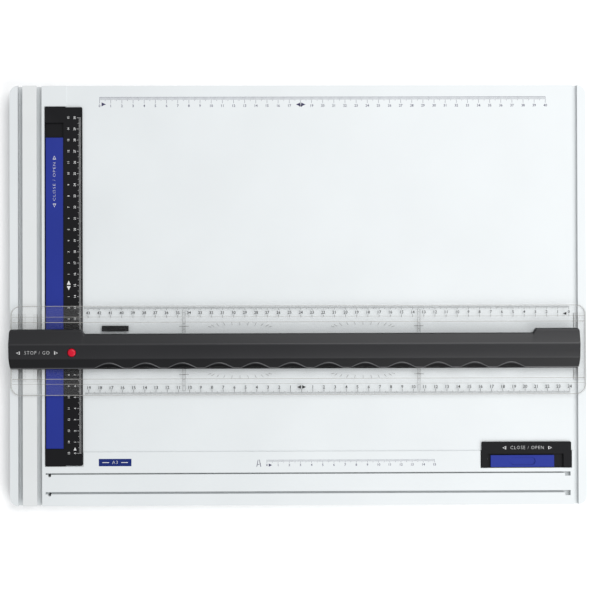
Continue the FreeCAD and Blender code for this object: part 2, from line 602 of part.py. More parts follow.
def build_rule():
    """The clear blade with its carrier bar, three shoes and their fixings."""
    blade = new_body("rule_blade")
    profile = sketch(blade, "blade_profile", "-blade_length / 2", "YZ_Plane")
    half, flat = "blade_width / 2", "(blade_width / 2 - bevel_width)"
    edge = "blade_under + blade_edge"
    draw_outline(profile, [(f"rule_middle - {half}", "blade_under"),
                           (f"rule_middle + {half}", "blade_under"),
                           (f"rule_middle + {half}", edge),
                           (f"rule_middle + {flat}", "blade_top"),
                           (f"rule_middle - {flat}", "blade_top"),
                           (f"rule_middle - {half}", edge)])
    pad(blade, profile, "blade_length")
    end = value("blade_length / 2")
    round_upright_edges(blade, "blade_corner", lambda across, up: abs(abs(across) - end) < 0.01)
    studs = [(place_x, f"carrier_y + {side} * stud_spread")
             for place_x in ("outer_stud", "inner_stud", "right_groove_end - groove_right / 2")
             for side in (-1, 1)]
    holes(blade, "stud_holes", studs, "stud_radius + stud_gap", "blade_top", "blade_under")
    holes(blade, "brake_hole", [("rail_centre", "carrier_y")], "brake_pad_radius + slide_gap",
          "blade_top", "blade_under")
    fixings = [(f"{step} * carrier_pitch", "carrier_y") for step in (-2, -1, 0, 1, 2)]
    holes(blade, "carrier_screw_holes", fixings, "screw_clear", "blade_top", "blade_under")
    seats = sketch(blade, "carrier_screw_seats", "blade_under")
    for across, up in fixings:
        draw_circle(seats, across, up, "screw_head + head_gap")
    pocket(blade, seats, "screw_head_thick + snug_gap", upward=True)

    carrier = new_body("rule_carrier")
    section = sketch(carrier, "carrier_section", "carrier_left", "YZ_Plane")
    shelf = "blade_top + foot_thick"
    draw_outline(section, [("carrier_y - foot_half", "blade_top"), ("carrier_y + foot_half", "blade_top"),
                           ("carrier_y + foot_half", shelf), ("carrier_y + flange_half", shelf),
                           ("carrier_y + flange_half", "carrier_top"),
                           ("carrier_y - flange_half", "carrier_top"),
                           ("carrier_y - flange_half", shelf), ("carrier_y - foot_half", shelf)])
    pad(carrier, section, "carrier_right - carrier_left")
    window_low = "carrier_y - flange_half - overrun"
    window_high = "button_y + retainer_width + slide_gap"
    hollow(carrier, "button_window", "button_x - retainer_half - slide_gap",
           "button_x + retainer_half + grip_travel + slide_gap", window_low, window_high,
           "carrier_top", "window_floor")
    lock_spots = [("button_x", "button_y"), ("button_x + grip_travel", "button_y")]
    holes(carrier, "lock_holes", lock_spots, "button_stem + lock_gap", "window_floor", "blade_top")
    hollow(carrier, "brake_window", "rail_centre - brake_head / 2 - slide_gap",
           "rail_centre + brake_head / 2 + slide_gap", "carrier_y - brake_head / 2 - slide_gap",
           "carrier_y + brake_head / 2 + slide_gap", "carrier_top", "window_floor")
    holes(carrier, "brake_guide", [("rail_centre", "carrier_y")], "brake_stem + stud_gap",
          "window_floor", "blade_top")
    carrier_pilots = sketch(carrier, "carrier_pilots", "blade_top")
    for across, up in fixings:
        draw_circle(carrier_pilots, across, up, "screw_pilot")
    pocket(carrier, carrier_pilots, "carrier_bite + root", upward=True)
    screws("carrier_screws", fixings, "screw_shank", "screw_head", "blade_under + screw_head_thick",
           "blade_under + close_gap", "blade_top + carrier_bite")

    low, high = "carrier_y - shoe_length / 2", "carrier_y + shoe_length / 2"
    flange = "blade_under - flange_thick"
    hook_top = "rail_top - rail_head_thick - shoe_gap"
    for label, stud, groove_edge, side, reach in (
            ("left_outer_shoe", "outer_stud", "channel_left", 1, "-outer_reach"),
            ("left_inner_shoe", "inner_stud", "channel_right", -1, "-shoe_gap")):
        shoe = new_body(label)
        inner = f"rail_centre - {side} * brake_room"
        outer = f"{groove_edge} + {side} * ({reach})" if side > 0 else f"{groove_edge} - shoe_gap"
        start, finish = (outer, inner) if side > 0 else (inner, outer)
        block(shoe, label + "_flange", start, finish, low, high, flange, "blade_under")
        wall = f"{groove_edge} + {side} * shoe_gap"
        face = f"{groove_edge} + {side} * (groove_left - shoe_gap)"
        tip = f"{groove_edge} + {side} * (groove_left + hook_reach)"
        fin_left, fin_right = (wall, face) if side > 0 else (face, wall)
        hook_left, hook_right = (wall, tip) if side > 0 else (tip, wall)
        block(shoe, label + "_fin", fin_left, fin_right, low, high, f"{hook_top} - hook_thick", flange)
        block(shoe, label + "_hook", hook_left, hook_right, low, high,
              f"{hook_top} - hook_thick", hook_top)
        pins(shoe, label + "_studs", [(stud, f"carrier_y + {end} * stud_spread") for end in (-1, 1)],
             "stud_radius", "blade_under", "blade_top")
    shoe = new_body("right_shoe")
    middle = "right_groove_end - groove_right / 2"
    block(shoe, "right_flange", "right_groove_start - right_flange_start",
          "board_length / 2 - right_flange_end", low, high, flange, "blade_under")
    block(shoe, "right_fin", "right_groove_start + shoe_gap", "right_groove_end - shoe_gap",
          low, high, "rail_top - fin_depth", flange)
    pins(shoe, "right_studs", [(middle, f"carrier_y + {end} * stud_spread") for end in (-1, 1)],
         "stud_radius", "blade_under", "blade_top")


def build_brake():
    """The brake: sliding the grip to STOP pushes the plunger's pad down on the guide rail."""
    half = "brake_head / 2"
    plunger = new_body("brake_plunger")
    head = sketch(plunger, "plunger_head", "-carrier_y - brake_head / 2", "XZ_Plane")
    draw_outline(head, [(f"rail_centre - {half}", "brake_head_under"),
                        (f"rail_centre + {half}", "brake_head_under"),
                        (f"rail_centre + {half}", f"brake_top - {half} * brake_slope"),
                        (f"rail_centre - {half}", f"brake_top + {half} * brake_slope")])
    pad(plunger, head, "brake_head")
    pad_top = "rail_top + close_gap + brake_pad_thick"
    pins(plunger, "plunger_stem", [("rail_centre", "carrier_y")], "brake_stem", pad_top,
         "brake_head_under + root")
    friction_pad = new_body("brake_pad")
    pins(friction_pad, "brake_pad_disc", [("rail_centre", "carrier_y")], "brake_pad_radius",
         "rail_top + close_gap", pad_top)
    coil_springs("brake_spring", [("rail_centre", "carrier_y")], "brake_coil", "brake_wire",
                 "window_floor", "brake_head_under", "brake_turns")


def build_grip():
    """The charcoal grip bar, hollow below, with the brake's ramp and the button's seat inside."""
    grip = new_body("grip_bar")
    section = sketch(grip, "grip_section", "grip_left", "YZ_Plane")
    back = "back_edge + grip_block"
    draw_outline(section, [("front_edge", "grip_under"), (back, "grip_under"),
                           (back, "grip_top - back_drop"),
                           (f"{back} - back_chamfer", "grip_top - back_drop + back_chamfer"),
                           ("rule_middle + grip_crown", "grip_top"),
                           ("rule_middle - grip_crease", "grip_top - crease_drop"),
                           ("front_edge", "grip_nose")])
    pad(grip, section, "grip_length")
    notch = sketch(grip, "back_notch", "grip_top")
    draw_outline(notch, [("grip_left + left_block + block_slope", "back_edge"),
                         ("grip_right - right_block - block_slope", "back_edge"),
                         ("grip_right - right_block", f"{back} + overrun"),
                         ("grip_left + left_block", f"{back} + overrun")])
    pocket(grip, notch, "grip_top - grip_under")
    corners = sketch(grip, "grip_corners", "grip_top")
    for end, side in (("grip_left", 1), ("grip_right", -1)):
        for edge, turn in (("front_edge", 1), (back, -1)):
            past_end, past_edge = f"{end} - {side} * overrun", f"{edge} - {turn} * overrun"
            across, along = f"{end} + {side} * grip_corner_across", f"{edge} + {turn} * grip_corner"
            draw_outline(corners, [(past_end, past_edge), (across, past_edge), (across, edge),
                                   (end, along), (past_end, along)])
    pocket(grip, corners, "grip_top - grip_under")
    cavity = sketch(grip, "grip_cavity", "grip_left + grip_wall", "YZ_Plane")
    mouth, room = "foot_half + slide_gap", "flange_half + flange_gap"
    draw_outline(cavity, [(f"carrier_y - ({mouth})", "grip_under - overrun"),
                          (f"carrier_y + {mouth}", "grip_under - overrun"),
                          (f"carrier_y + {mouth}", "grip_lip_top"),
                          (f"carrier_y + {room}", "grip_lip_top"),
                          (f"carrier_y + {room}", "grip_roof"), (f"carrier_y - ({room})", "grip_roof"),
                          (f"carrier_y - ({room})", "grip_lip_top"),
                          (f"carrier_y - ({mouth})", "grip_lip_top")])
    pocket(grip, cavity, "grip_length - 2 * grip_wall", upward=True)
    scallops = sketch(grip, "finger_scallops", "grip_top")
    bow = "(scallop_depth / 2 + scallop_width * scallop_width / 8 / scallop_depth)"
    draw_circle(scallops, "grip_left + scallop_start", f"front_edge + scallop_depth - {bow}", bow)
    scoop = pocket(grip, scallops, "nose_drop + scallop_rim")
    repeat = grip.newObject("PartDesign::LinearPattern", "scallop_row")
    repeat.Originals = [scoop]
    repeat.Direction = (scallops, ["H_Axis"])
    gaps = "floor((grip_length - scallop_start - right_block) / scallop_pitch)"
    repeat.setExpression("Occurrences", tied(f"{gaps} + 1"))
    repeat.setExpression("Length", tied(f"scallop_pitch * {gaps}"))
    grip.Tip = repeat
    ramp = sketch(grip, "brake_ramp", "-carrier_y - brake_head / 2", "XZ_Plane")
    top = "brake_top + ramp_gap / 2"
    start, finish = "brake_head / 2 + grip_travel", "brake_head / 2"
    draw_outline(ramp, [(f"rail_centre - ({start})", f"{top} + ({start}) * brake_slope"),
                        (f"rail_centre + {finish}", f"{top} - {finish} * brake_slope"),
                        (f"rail_centre + {finish}", "grip_roof + root"),
                        (f"rail_centre - ({start})", "grip_roof + root")])
    pad(grip, ramp, "brake_head")
    holes(grip, "button_hole", [("button_x", "button_y")], "button_radius + button_gap",
          "grip_top", "grip_roof - snug_gap")
    posts = [(f"button_x + {side} * post_across", "button_y - post_along") for side in (-1, 1)]
    plate_top = "retainer_level + retainer_thick"
    pins(grip, "retainer_posts", posts, "post_radius", plate_top, "grip_roof + root")
    pins(grip, "retainer_pegs", posts, "peg_radius", "retainer_level", plate_top)

    button = new_body("stop_button")
    centre = [("button_x", "button_y")]
    collar_top = "collar_under + collar_thick"
    pins(button, "button_cap", centre, "button_radius", collar_top, "grip_top + button_proud")
    pins(button, "button_collar", centre, "button_collar", "collar_under", collar_top)
    pins(button, "button_stem", centre, "button_stem", "button_tip", "collar_under")
    retainer = new_body("button_retainer")
    block(retainer, "retainer_plate", "button_x - retainer_half", "button_x + retainer_half",
          "carrier_y - flange_half - slide_gap", "button_y + retainer_width",
          "retainer_level", plate_top)
    holes(retainer, "retainer_eye", centre, "button_stem + stud_gap", plate_top, "retainer_level")
    holes(retainer, "retainer_peg_holes", posts, "peg_radius + close_gap", plate_top,
          "retainer_level")
    coil_springs("button_spring", centre, "button_coil", "button_wire", plate_top,
                 "collar_under", "button_turns")


RAIL_MIDDLE = "(rail_slider_start + rail_slider_length / 2 - rail_length / 2)"
RAIL_CLAMP = {
    "name": "rail_clamp", "sizes": "rail", "x": "rail_clamp_x", "y": "rail_middle",
    "turn": 90, "lip_side": -1, "dished": False,
    "recess_near": "slider_gap", "recess_far": "slider_gap", "recess_start": "slider_gap",
    "fingers": [f"{RAIL_MIDDLE} + {step} * rail_finger_pitch" for step in (-1, 0, 1)],
    "fixings": [(f"({RAIL_MIDDLE} + {step} * rail_finger_pitch)", "0") for step in (-0.5, 0.5)],
}
CORNER_MIDDLE = "(corner_slider_start + corner_slider_length / 2 - corner_length / 2)"
CORNER_CLAMP = {
    "name": "corner_clamp", "sizes": "corner", "x": "corner_clamp_x", "y": "corner_clamp_y",
    "turn": 0, "lip_side": 1, "dished": True,
    "recess_near": "corner_recess_near", "recess_far": "corner_recess_far",
    "recess_start": "corner_recess_start",
    "fingers": [f"{CORNER_MIDDLE} + {step} * corner_finger_pitch" for step in (-0.5, 0.5)],
    "fixings": [(f"({CORNER_MIDDLE} + corner_travel / 2)", f"{side} * corner_fixing_spread")
                for side in (-1, 1)],
}

build_deck()
build_clamp(RAIL_CLAMP)
build_clamp(CORNER_CLAMP)
build_rule()
build_brake()
build_grip()
doc.recompute()

nodes = [piece for piece in doc.Objects
         if piece.TypeId == "PartDesign::Body"
         or (piece.TypeId == "Part::Feature" and piece.getParentGeoFeatureGroup() is None)]
faults = [piece.Name for piece in doc.Objects if {"Invalid", "Error"} & set(piece.State)]
faults += [node.Label for node in nodes if node.Shape.isNull() or not node.Shape.isValid()]
if faults:
    raise SystemExit("these objects failed: " + ", ".join(faults))

os.makedirs("parts", exist_ok=True)
for node in nodes:
    node.Shape.exportStep(f"parts/{node.Label}.step")
print(len(nodes), "sub-parts written")
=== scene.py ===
import bmesh
import bpy
import json
import math
from mathutils import Matrix, Vector


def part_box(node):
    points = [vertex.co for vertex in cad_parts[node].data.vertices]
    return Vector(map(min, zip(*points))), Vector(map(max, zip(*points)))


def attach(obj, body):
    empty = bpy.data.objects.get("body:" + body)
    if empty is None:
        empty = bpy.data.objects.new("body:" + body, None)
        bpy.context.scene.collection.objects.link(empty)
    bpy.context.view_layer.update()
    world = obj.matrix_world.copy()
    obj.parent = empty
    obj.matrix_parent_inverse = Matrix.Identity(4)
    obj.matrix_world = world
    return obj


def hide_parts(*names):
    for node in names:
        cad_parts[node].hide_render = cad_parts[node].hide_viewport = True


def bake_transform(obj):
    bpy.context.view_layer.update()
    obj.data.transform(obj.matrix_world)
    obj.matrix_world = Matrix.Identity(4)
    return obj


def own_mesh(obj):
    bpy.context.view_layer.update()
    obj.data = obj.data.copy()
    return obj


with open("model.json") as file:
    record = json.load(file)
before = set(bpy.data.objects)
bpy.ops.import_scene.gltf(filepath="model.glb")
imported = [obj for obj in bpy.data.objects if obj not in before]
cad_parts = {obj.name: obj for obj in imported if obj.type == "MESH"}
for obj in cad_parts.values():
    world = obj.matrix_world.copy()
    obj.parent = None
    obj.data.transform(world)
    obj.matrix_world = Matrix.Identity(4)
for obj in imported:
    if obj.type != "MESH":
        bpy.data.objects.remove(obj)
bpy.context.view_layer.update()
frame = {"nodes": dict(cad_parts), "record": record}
MM = 0.001

# The deck is one large injection moulding in cool white plastic, with a very fine spark-eroded
# texture so that paper slides on it. Its edges are softly broken, as they come from the mould.
DECK_WHITE = (0.615, 0.64, 0.648)
DECK_EDGE = 0.35 * MM
PIT_DEPTH = 0.05 * MM


def moulded_plastic(name, colour, roughness, grain=0.0, pit=0.15 * MM, cloud=0.02, specular=0.5):
    """Plastic from a textured mould: pits in the surface, and cloudy tone and gloss."""
    finish = bpy.data.materials.new(name)
    finish.use_nodes = True
    nodes, links = finish.node_tree.nodes, finish.node_tree.links
    shader = nodes["Principled BSDF"]
    shader.inputs["Specular IOR Level"].default_value = specular
    where = nodes.new("ShaderNodeTexCoord")
    clouds = nodes.new("ShaderNodeTexNoise")
    clouds.inputs["Scale"].default_value = 14
    clouds.inputs["Detail"].default_value = 4
    links.new(where.outputs["Object"], clouds.inputs["Vector"])
    tone = nodes.new("ShaderNodeValToRGB")
    dark, light = (tuple(channel * side for channel in colour) for side in (1 - cloud, 1 + cloud))
    tone.color_ramp.elements[0].position = 0.3
    tone.color_ramp.elements[0].color = (*dark, 1)
    tone.color_ramp.elements[1].position = 0.7
    tone.color_ramp.elements[1].color = (*light, 1)
    links.new(clouds.outputs["Fac"], tone.inputs["Fac"])
    links.new(tone.outputs["Color"], shader.inputs["Base Color"])
    polish = nodes.new("ShaderNodeMapRange")
    polish.inputs["To Min"].default_value = roughness - 0.05
    polish.inputs["To Max"].default_value = roughness + 0.05
    links.new(clouds.outputs["Fac"], polish.inputs["Value"])
    links.new(polish.outputs["Result"], shader.inputs["Roughness"])
    if grain:
        pits = nodes.new("ShaderNodeTexNoise")
        pits.inputs["Scale"].default_value = 1 / pit
        pits.inputs["Detail"].default_value = 2
        links.new(where.outputs["Object"], pits.inputs["Vector"])
        relief = nodes.new("ShaderNodeBump")
        relief.inputs["Strength"].default_value = grain
        relief.inputs["Distance"].default_value = PIT_DEPTH
        links.new(pits.outputs["Fac"], relief.inputs["Height"])
        links.new(relief.outputs["Normal"], shader.inputs["Normal"])
    return finish


def soften(node, piece_name, body, edge, finish):
    """The CAD piece with its moulded edges rounded to the given radius."""
    mesh = frame["nodes"][node].data.copy()
    mesh.materials.clear()
    mesh.materials.append(finish)
    shape = bmesh.new()
    shape.from_mesh(mesh)
    bmesh.ops.remove_doubles(shape, verts=shape.verts, dist=0.001 * MM)
    bmesh.ops.dissolve_limit(shape, angle_limit=math.radians(1.5), verts=shape.verts,
                             edges=shape.edges)
    for face in shape.faces:
        face.material_index = 0
        face.smooth = True
    shape.to_mesh(mesh)
    shape.free()
    piece = bpy.data.objects.new(piece_name, mesh)
    bpy.context.scene.collection.objects.link(piece)
    rounding = piece.modifiers.new("broken_edges", "BEVEL")
    rounding.width = edge
    rounding.segments = 2
    rounding.limit_method = "ANGLE"
    rounding.angle_limit = math.radians(30)
    rounding.use_clamp_overlap = True
    evening = piece.modifiers.new("even_shading", "WEIGHTED_NORMAL")
    evening.keep_sharp = False
    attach(piece, body)
    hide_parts(node)
    return piece


deck_plastic = moulded_plastic("deck_plastic", DECK_WHITE, 0.45, grain=0.25, pit=0.4 * MM)
soften("deck_shell", "deck", "board", DECK_EDGE, deck_plastic)

# The guide rail is a T-shaped strip of slippery white plastic between the two left grooves.
# The rule's shoes hook under its head, and the brake's pad presses on its top.
rail_plastic = moulded_plastic("rail_plastic", (0.62, 0.636, 0.636), 0.38, grain=0.1, pit=0.5 * MM)
soften("guide_rail", "rail", "board", 0.3 * MM, rail_plastic)

# The base cover closes the deck from below. It is a matt sheet with a coarse grain, screwed to
# bosses under the deck, and it stands on four soft rubber feet.
cover_plastic = moulded_plastic("cover_plastic", (0.66, 0.68, 0.69), 0.6, grain=0.6, pit=0.7 * MM)
soften("base_cover", "underside_cover", "board", 0.3 * MM, cover_plastic)
foot_rubber = moulded_plastic("foot_rubber", (0.035, 0.035, 0.038), 0.8, grain=0.5, pit=0.5 * MM,
                              cloud=0.1)


def turned(piece_name, body, outline, centre, finish):
    """A round piece turned from an outline of (radius, height) points about an upright axis."""
    sides = 64
    mesh = bpy.data.meshes.new(piece_name)
    shape = bmesh.new()
    rings = []
    for radius, height in outline:
        if radius == 0:
            rings.append([shape.verts.new((centre[0], centre[1], height))])
            continue
        turns = [2 * math.pi * side / sides for side in range(sides)]
        rings.append([shape.verts.new((centre[0] + radius * math.cos(turn),
                                       centre[1] + radius * math.sin(turn), height))
                      for turn in turns])
    for low, high in zip(rings, rings[1:]):
        for side in range(sides):
            after = (side + 1) % sides
            corners = [low[side % len(low)], low[after % len(low)],
                       high[after % len(high)], high[side % len(high)]]
            shape.faces.new(list(dict.fromkeys(corners)))
    for face in shape.faces:
        face.smooth = True
    bmesh.ops.recalc_face_normals(shape, faces=shape.faces)
    shape.to_mesh(mesh)
    shape.free()
    mesh.materials.append(finish)
    piece = bpy.data.objects.new(piece_name, mesh)
    bpy.context.scene.collection.objects.link(piece)
    mesh.set_sharp_from_angle(angle=math.radians(40))
    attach(piece, body)
    return piece


for corner in ("front_left", "rear_left", "front_right", "rear_right"):
    low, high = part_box("foot_" + corner)
    middle = (low + high) / 2
    radius = (high.x - low.x) / 2
    sole = 2 * MM
    peg = 2.4 * MM
    foot = turned("rubber_foot_" + corner, "board",
                  [(0, 0.35 * MM), (radius - 3 * MM, 0.3 * MM), (radius - 2.2 * MM, 0),
                   (radius - 0.7 * MM, 0), (radius - 0.2 * MM, 0.25 * MM), (radius, 0.8 * MM),
                   (radius - 0.2 * MM, sole - 0.1 * MM), (radius - 0.4 * MM, sole), (peg, sole),
                   (peg, high.z - 0.3 * MM), (peg - 0.3 * MM, high.z), (0, high.z)],
                  middle, foot_rubber)
    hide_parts("foot_" + corner)

# The screws are zinc-plated steel. They hold the cover, the rail, the carrier and the clamps'
# bases, and two in each jaw carry its springs. Only those in the underside can be seen.


def drawn_steel(name, colour, roughness):
    """Plated or drawn steel with fine rolling marks."""
    finish = bpy.data.materials.new(name)
    finish.use_nodes = True
    nodes, links = finish.node_tree.nodes, finish.node_tree.links
    shader = nodes["Principled BSDF"]
    shader.inputs["Metallic"].default_value = 1
    shader.inputs["Base Color"].default_value = (*colour, 1)
    where = nodes.new("ShaderNodeTexCoord")
    marks = nodes.new("ShaderNodeTexNoise")
    marks.inputs["Scale"].default_value = 900
    links.new(where.outputs["Object"], marks.inputs["Vector"])
    polish = nodes.new("ShaderNodeMapRange")
    polish.inputs["To Min"].default_value = roughness - 0.08
    polish.inputs["To Max"].default_value = roughness + 0.12
    links.new(marks.outputs["Fac"], polish.inputs["Value"])
    links.new(polish.outputs["Result"], shader.inputs["Roughness"])
    return finish


def dress(node, finish):
    """A CAD piece that keeps its shape and gets its finish."""
    materials = frame["nodes"][node].data.materials
    materials.clear()
    materials.append(finish)


zinc = drawn_steel("zinc_plate", (0.62, 0.62, 0.60), 0.32)
for fixing in ("cover_screws", "guide_rail_screws", "carrier_screws", "rail_clamp_base_screws",
               "corner_clamp_base_screws", "rail_clamp_lift_screws", "corner_clamp_lift_screws"):
    dress(fixing, zinc)

# The coil springs are wound from drawn wire. On the real board those of the clamps and the button
# get shorter when the jaw or the button moves, and the brake's spring grows as it lifts the
# plunger; here each keeps the shape it has in the CAD model.
spring_steel = drawn_steel("spring_steel", (0.55, 0.56, 0.58), 0.25)


def coil_spring(node, piece_name):
    """The CAD spring as a piece of its own, with its wire shaded round."""
    mesh = frame["nodes"][node].data.copy()
    mesh.materials.clear()
    mesh.materials.append(spring_steel)
    for face in mesh.polygons:
        face.material_index = 0
        face.use_smooth = True
    spring = bpy.data.objects.new(piece_name, mesh)
    bpy.context.scene.collection.objects.link(spring)
    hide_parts(node)
    return spring


for node, piece_name, body, joint, fixed_end in (
        ("rail_clamp_springs", "rail_jaw_springs", "board", "rail_clamp_lift", 1),
        ("corner_clamp_springs", "corner_jaw_springs", "board", "corner_clamp_lift", 1),
        ("button_spring", "button_coil", "grip", "button_press", 0)):
    spring = coil_spring(node, piece_name)
    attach(spring, body)
    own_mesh(spring)
brake_coil = coil_spring("brake_spring", "brake_coil")
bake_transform(brake_coil)

# Each paper clamp has a black jaw with a thin scale lip over the paper's edge, a blue slider in
# the jaw's recess, a base strip with ramps in the deck's well, and a rubber strip under the lip.
clamp_black = moulded_plastic("clamp_black", (0.0062, 0.0062, 0.0074), 0.5, grain=0.35,
                              pit=0.35 * MM, cloud=0.12, specular=0.12)
base_grey = moulded_plastic("base_grey", (0.06, 0.062, 0.066), 0.55, grain=0.3)
strip_rubber = moulded_plastic("strip_rubber", (0.05, 0.05, 0.052), 0.85, grain=0.6, cloud=0.1)
slider_blue = moulded_plastic("slider_blue", (0.0155, 0.028, 0.225), 0.4, grain=0.15,
                              pit=0.5 * MM, cloud=0.06, specular=0.15)
for clamp, side in (("rail", "rail_clamp"), ("corner", "corner_clamp")):
    soften(side + "_jaw", side + "_black_jaw", clamp + "_jaw", 0.25 * MM, clamp_black)
    soften(side + "_slider", side + "_blue_slider", clamp + "_slider", 0.3 * MM, slider_blue)
    dress(side + "_base", base_grey)
    dress(side + "_rubber_strip", strip_rubber)

# The rule's blade is a clear acrylic sheet with two bevelled edges. Light goes straight through
# it and its faces have a little haze. Its bevels and cut edges get denser, greyer copies of the
# acrylic: painted reflection and painted shade for the light that they bend.


def clear_acrylic(name, tint, haze_and_painted_reflection, roughness):
    """Clear acrylic that lets most light through, with faint smears in its polish."""
    finish = moulded_plastic(name, tint, roughness, cloud=0.03)
    finish.node_tree.nodes["Principled BSDF"].inputs["IOR"].default_value = 1.49
    finish.node_tree.nodes["Principled BSDF"].inputs["Alpha"].default_value = haze_and_painted_reflection
    return finish


def dress_by_slope(piece, flat_finish, slope_finish, edge_finish):
    """Flat faces, sloping faces and upright edges of a clear piece each get their own finish; the
    denser copies on slopes and edges are painted reflection and painted shade.
    """
    piece.data.materials.clear()
    for finish in (flat_finish, slope_finish, edge_finish):
        piece.data.materials.append(finish)
    for face in piece.data.polygons:
        rise = abs(face.normal.z)
        face.material_index = 0 if rise > 0.999 else 1 if rise > 0.5 else 2


acrylic = clear_acrylic("acrylic", (0.60, 0.60, 0.59), 0.016, 0.1)
# Bevel and edge copies: denser, and greyer on the edges, as painted reflection and painted shade.
acrylic_bevel_painted_reflection = clear_acrylic("acrylic_bevel_painted_reflection", (0.66, 0.66, 0.65), 0.03, 0.15)
acrylic_edge_painted_reflection_and_shade = clear_acrylic("acrylic_edge_painted_reflection_and_shade", (0.52, 0.51, 0.48), 0.5, 0.3)
blade = soften("rule_blade", "clear_blade", "rule", 0.3 * MM, acrylic)
dress_by_slope(blade, acrylic, acrylic_bevel_painted_reflection, acrylic_edge_painted_reflection_and_shade)

# The shoes are clear mouldings under the blade: two hook under the guide rail's head, and a
# plain one at the right end slides on the deck. Their upright edges get a denser, greyer copy of
# the clear finish, as painted reflection and painted shade.
shoe_clear = clear_acrylic("shoe_clear", (0.66, 0.66, 0.64), 0.03, 0.2)
# Upright edges of the shoes: painted reflection and painted shade.
shoe_edge_painted_reflection_and_shade = clear_acrylic("shoe_edge_painted_reflection_and_shade", (0.48, 0.48, 0.44), 0.16, 0.3)
for shoe in ("left_outer_shoe", "left_inner_shoe", "right_shoe"):
    piece = soften(shoe, shoe + "_piece", "rule", 0.3 * MM, shoe_clear)
    dress_by_slope(piece, shoe_clear, shoe_clear, shoe_edge_painted_reflection_and_shade)

# The carrier is a black bar screwed through the blade, and the grip bar slides on it. The brake
# is a slippery white plunger with a rubber pad, and a black plate keeps the button in.
carrier_black = moulded_plastic("carrier_black", (0.014, 0.014, 0.015), 0.5, grain=0.3)
dress("rule_carrier", carrier_black)
dress("button_retainer", carrier_black)
brake_plastic = moulded_plastic("brake_plastic", (0.7, 0.7, 0.68), 0.35, grain=0.1)
dress("brake_plunger", brake_plastic)
dress("brake_pad", strip_rubber)

# The grip bar is a long charcoal moulding over the carrier. Its top has a crown and a front
# slope, its front rim has a row of finger scallops, and both ends are wider blocks.
GRIP_LOW, GRIP_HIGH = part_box("grip_bar")
BLOCK_REACH = 4 * MM
FRONT, BACK = GRIP_LOW.y, GRIP_HIGH.y - BLOCK_REACH
SCALLOPS = 12
SCALLOP_PITCH = 32.5 * MM
SCALLOP_FIRST = GRIP_LOW.x + 88.8 * MM
SCALLOP_WIDE = 26 * MM
SCALLOP_DEEP = 4.6 * MM
CREASE_Y, CROWN_Y = FRONT + 9.8 * MM, FRONT + 22 * MM
CREASE_Z, NOSE_Z = GRIP_HIGH.z - 0.55 * MM, GRIP_LOW.z + 2.6 * MM
BEAD = 0.8 * MM
NOSE_ROUND = 0.5 * MM
LEFT_BLOCK, RIGHT_BLOCK = GRIP_LOW.x + 64 * MM, GRIP_HIGH.x - 39.4 * MM
LEFT_STEP, RIGHT_STEP = 3.2 * MM, 2.7 * MM
END_BOW, END_CORNER, END_LENGTH = 0.9 * MM, 2.4 * MM, 14 * MM
CORNER_STARTS = 0.86


def eased(share):
    """From 0 to 1 with a soft start and a soft end."""
    share = min(1, max(0, share))
    return share * share * (3 - 2 * share)


def back_edge(x):
    """The back edge's place: the blocks reach back further, by a soft step and a slope."""
    left = 1 - eased((x - LEFT_BLOCK) / LEFT_STEP)
    right = min(1, max(0, (x - RIGHT_BLOCK + RIGHT_STEP) / RIGHT_STEP))
    return BACK + BLOCK_REACH * max(left, right)


def scallop(x):
    """How far the front rim is scooped back at x, from nothing up to the full depth."""
    number = min(SCALLOPS - 1, max(0, round((x - SCALLOP_FIRST) / SCALLOP_PITCH)))
    away = abs(x - SCALLOP_FIRST - number * SCALLOP_PITCH) / (SCALLOP_WIDE / 2)
    return SCALLOP_DEEP * max(0, math.cos(min(1, away) * math.pi / 2)) ** 1.1


def grip_station(x):
    """The bar's outline at x, from the front foot over the top and down to the back foot."""
    back, scoop = back_edge(x), scallop(x)
    share = scoop / SCALLOP_DEEP
    slope = (CREASE_Z - NOSE_Z) / (CREASE_Y - FRONT)
    rim = FRONT + NOSE_ROUND + scoop
    rim_z = NOSE_Z + (rim - FRONT) * slope
    # The front face stands upright on the foot, and is dished in under each scallop.
    drop_z = NOSE_Z - 0.9 * MM - share * 1.1 * MM
    dish_z = NOSE_Z - 0.25 * MM + share * 0.8 * MM
    wall = rim - 0.12 * MM - scoop * 0.14
    front_face = [(FRONT, GRIP_LOW.z), (FRONT + 0.03 * MM, GRIP_LOW.z + 0.4 * MM),
                  (FRONT + 0.1 * MM + scoop * 0.08, drop_z),
                  (FRONT + 0.3 * MM + scoop * 0.36, dish_z),
                  (wall, rim_z - 0.2 * MM - share * 0.2 * MM), (rim, rim_z)]
    # A raised bead runs along the rim, and the slope behind it climbs to the crease.
    plain = rim + BEAD + 0.35 * (CREASE_Y - 2 * BEAD - rim)
    front_slope = [(rim + BEAD * 0.5, rim_z + BEAD * 0.5),
                   (rim + BEAD, rim_z + BEAD * slope + 0.02 * MM),
                   (plain, rim_z + (plain - rim) * slope), (CREASE_Y - BEAD, CREASE_Z - BEAD * slope)]
    # The top is nearly flat from the crease to the crown, and falls from there to the back.
    top = [(CREASE_Y, CREASE_Z + 0.12 * MM), (CREASE_Y + BEAD, CREASE_Z),
           (CROWN_Y - BEAD, GRIP_HIGH.z - 0.16 * MM), (CROWN_Y, GRIP_HIGH.z),
           (CROWN_Y + BEAD, GRIP_HIGH.z - 0.2 * MM)]
    back_round = [(back - 2.2 * MM, GRIP_HIGH.z - 0.8 * MM), (back - 0.7 * MM, GRIP_HIGH.z - 1.3 * MM),
                  (back - 0.1 * MM, GRIP_HIGH.z - 2.2 * MM), (back, GRIP_LOW.z)]
    return front_face + front_slope + top + back_round


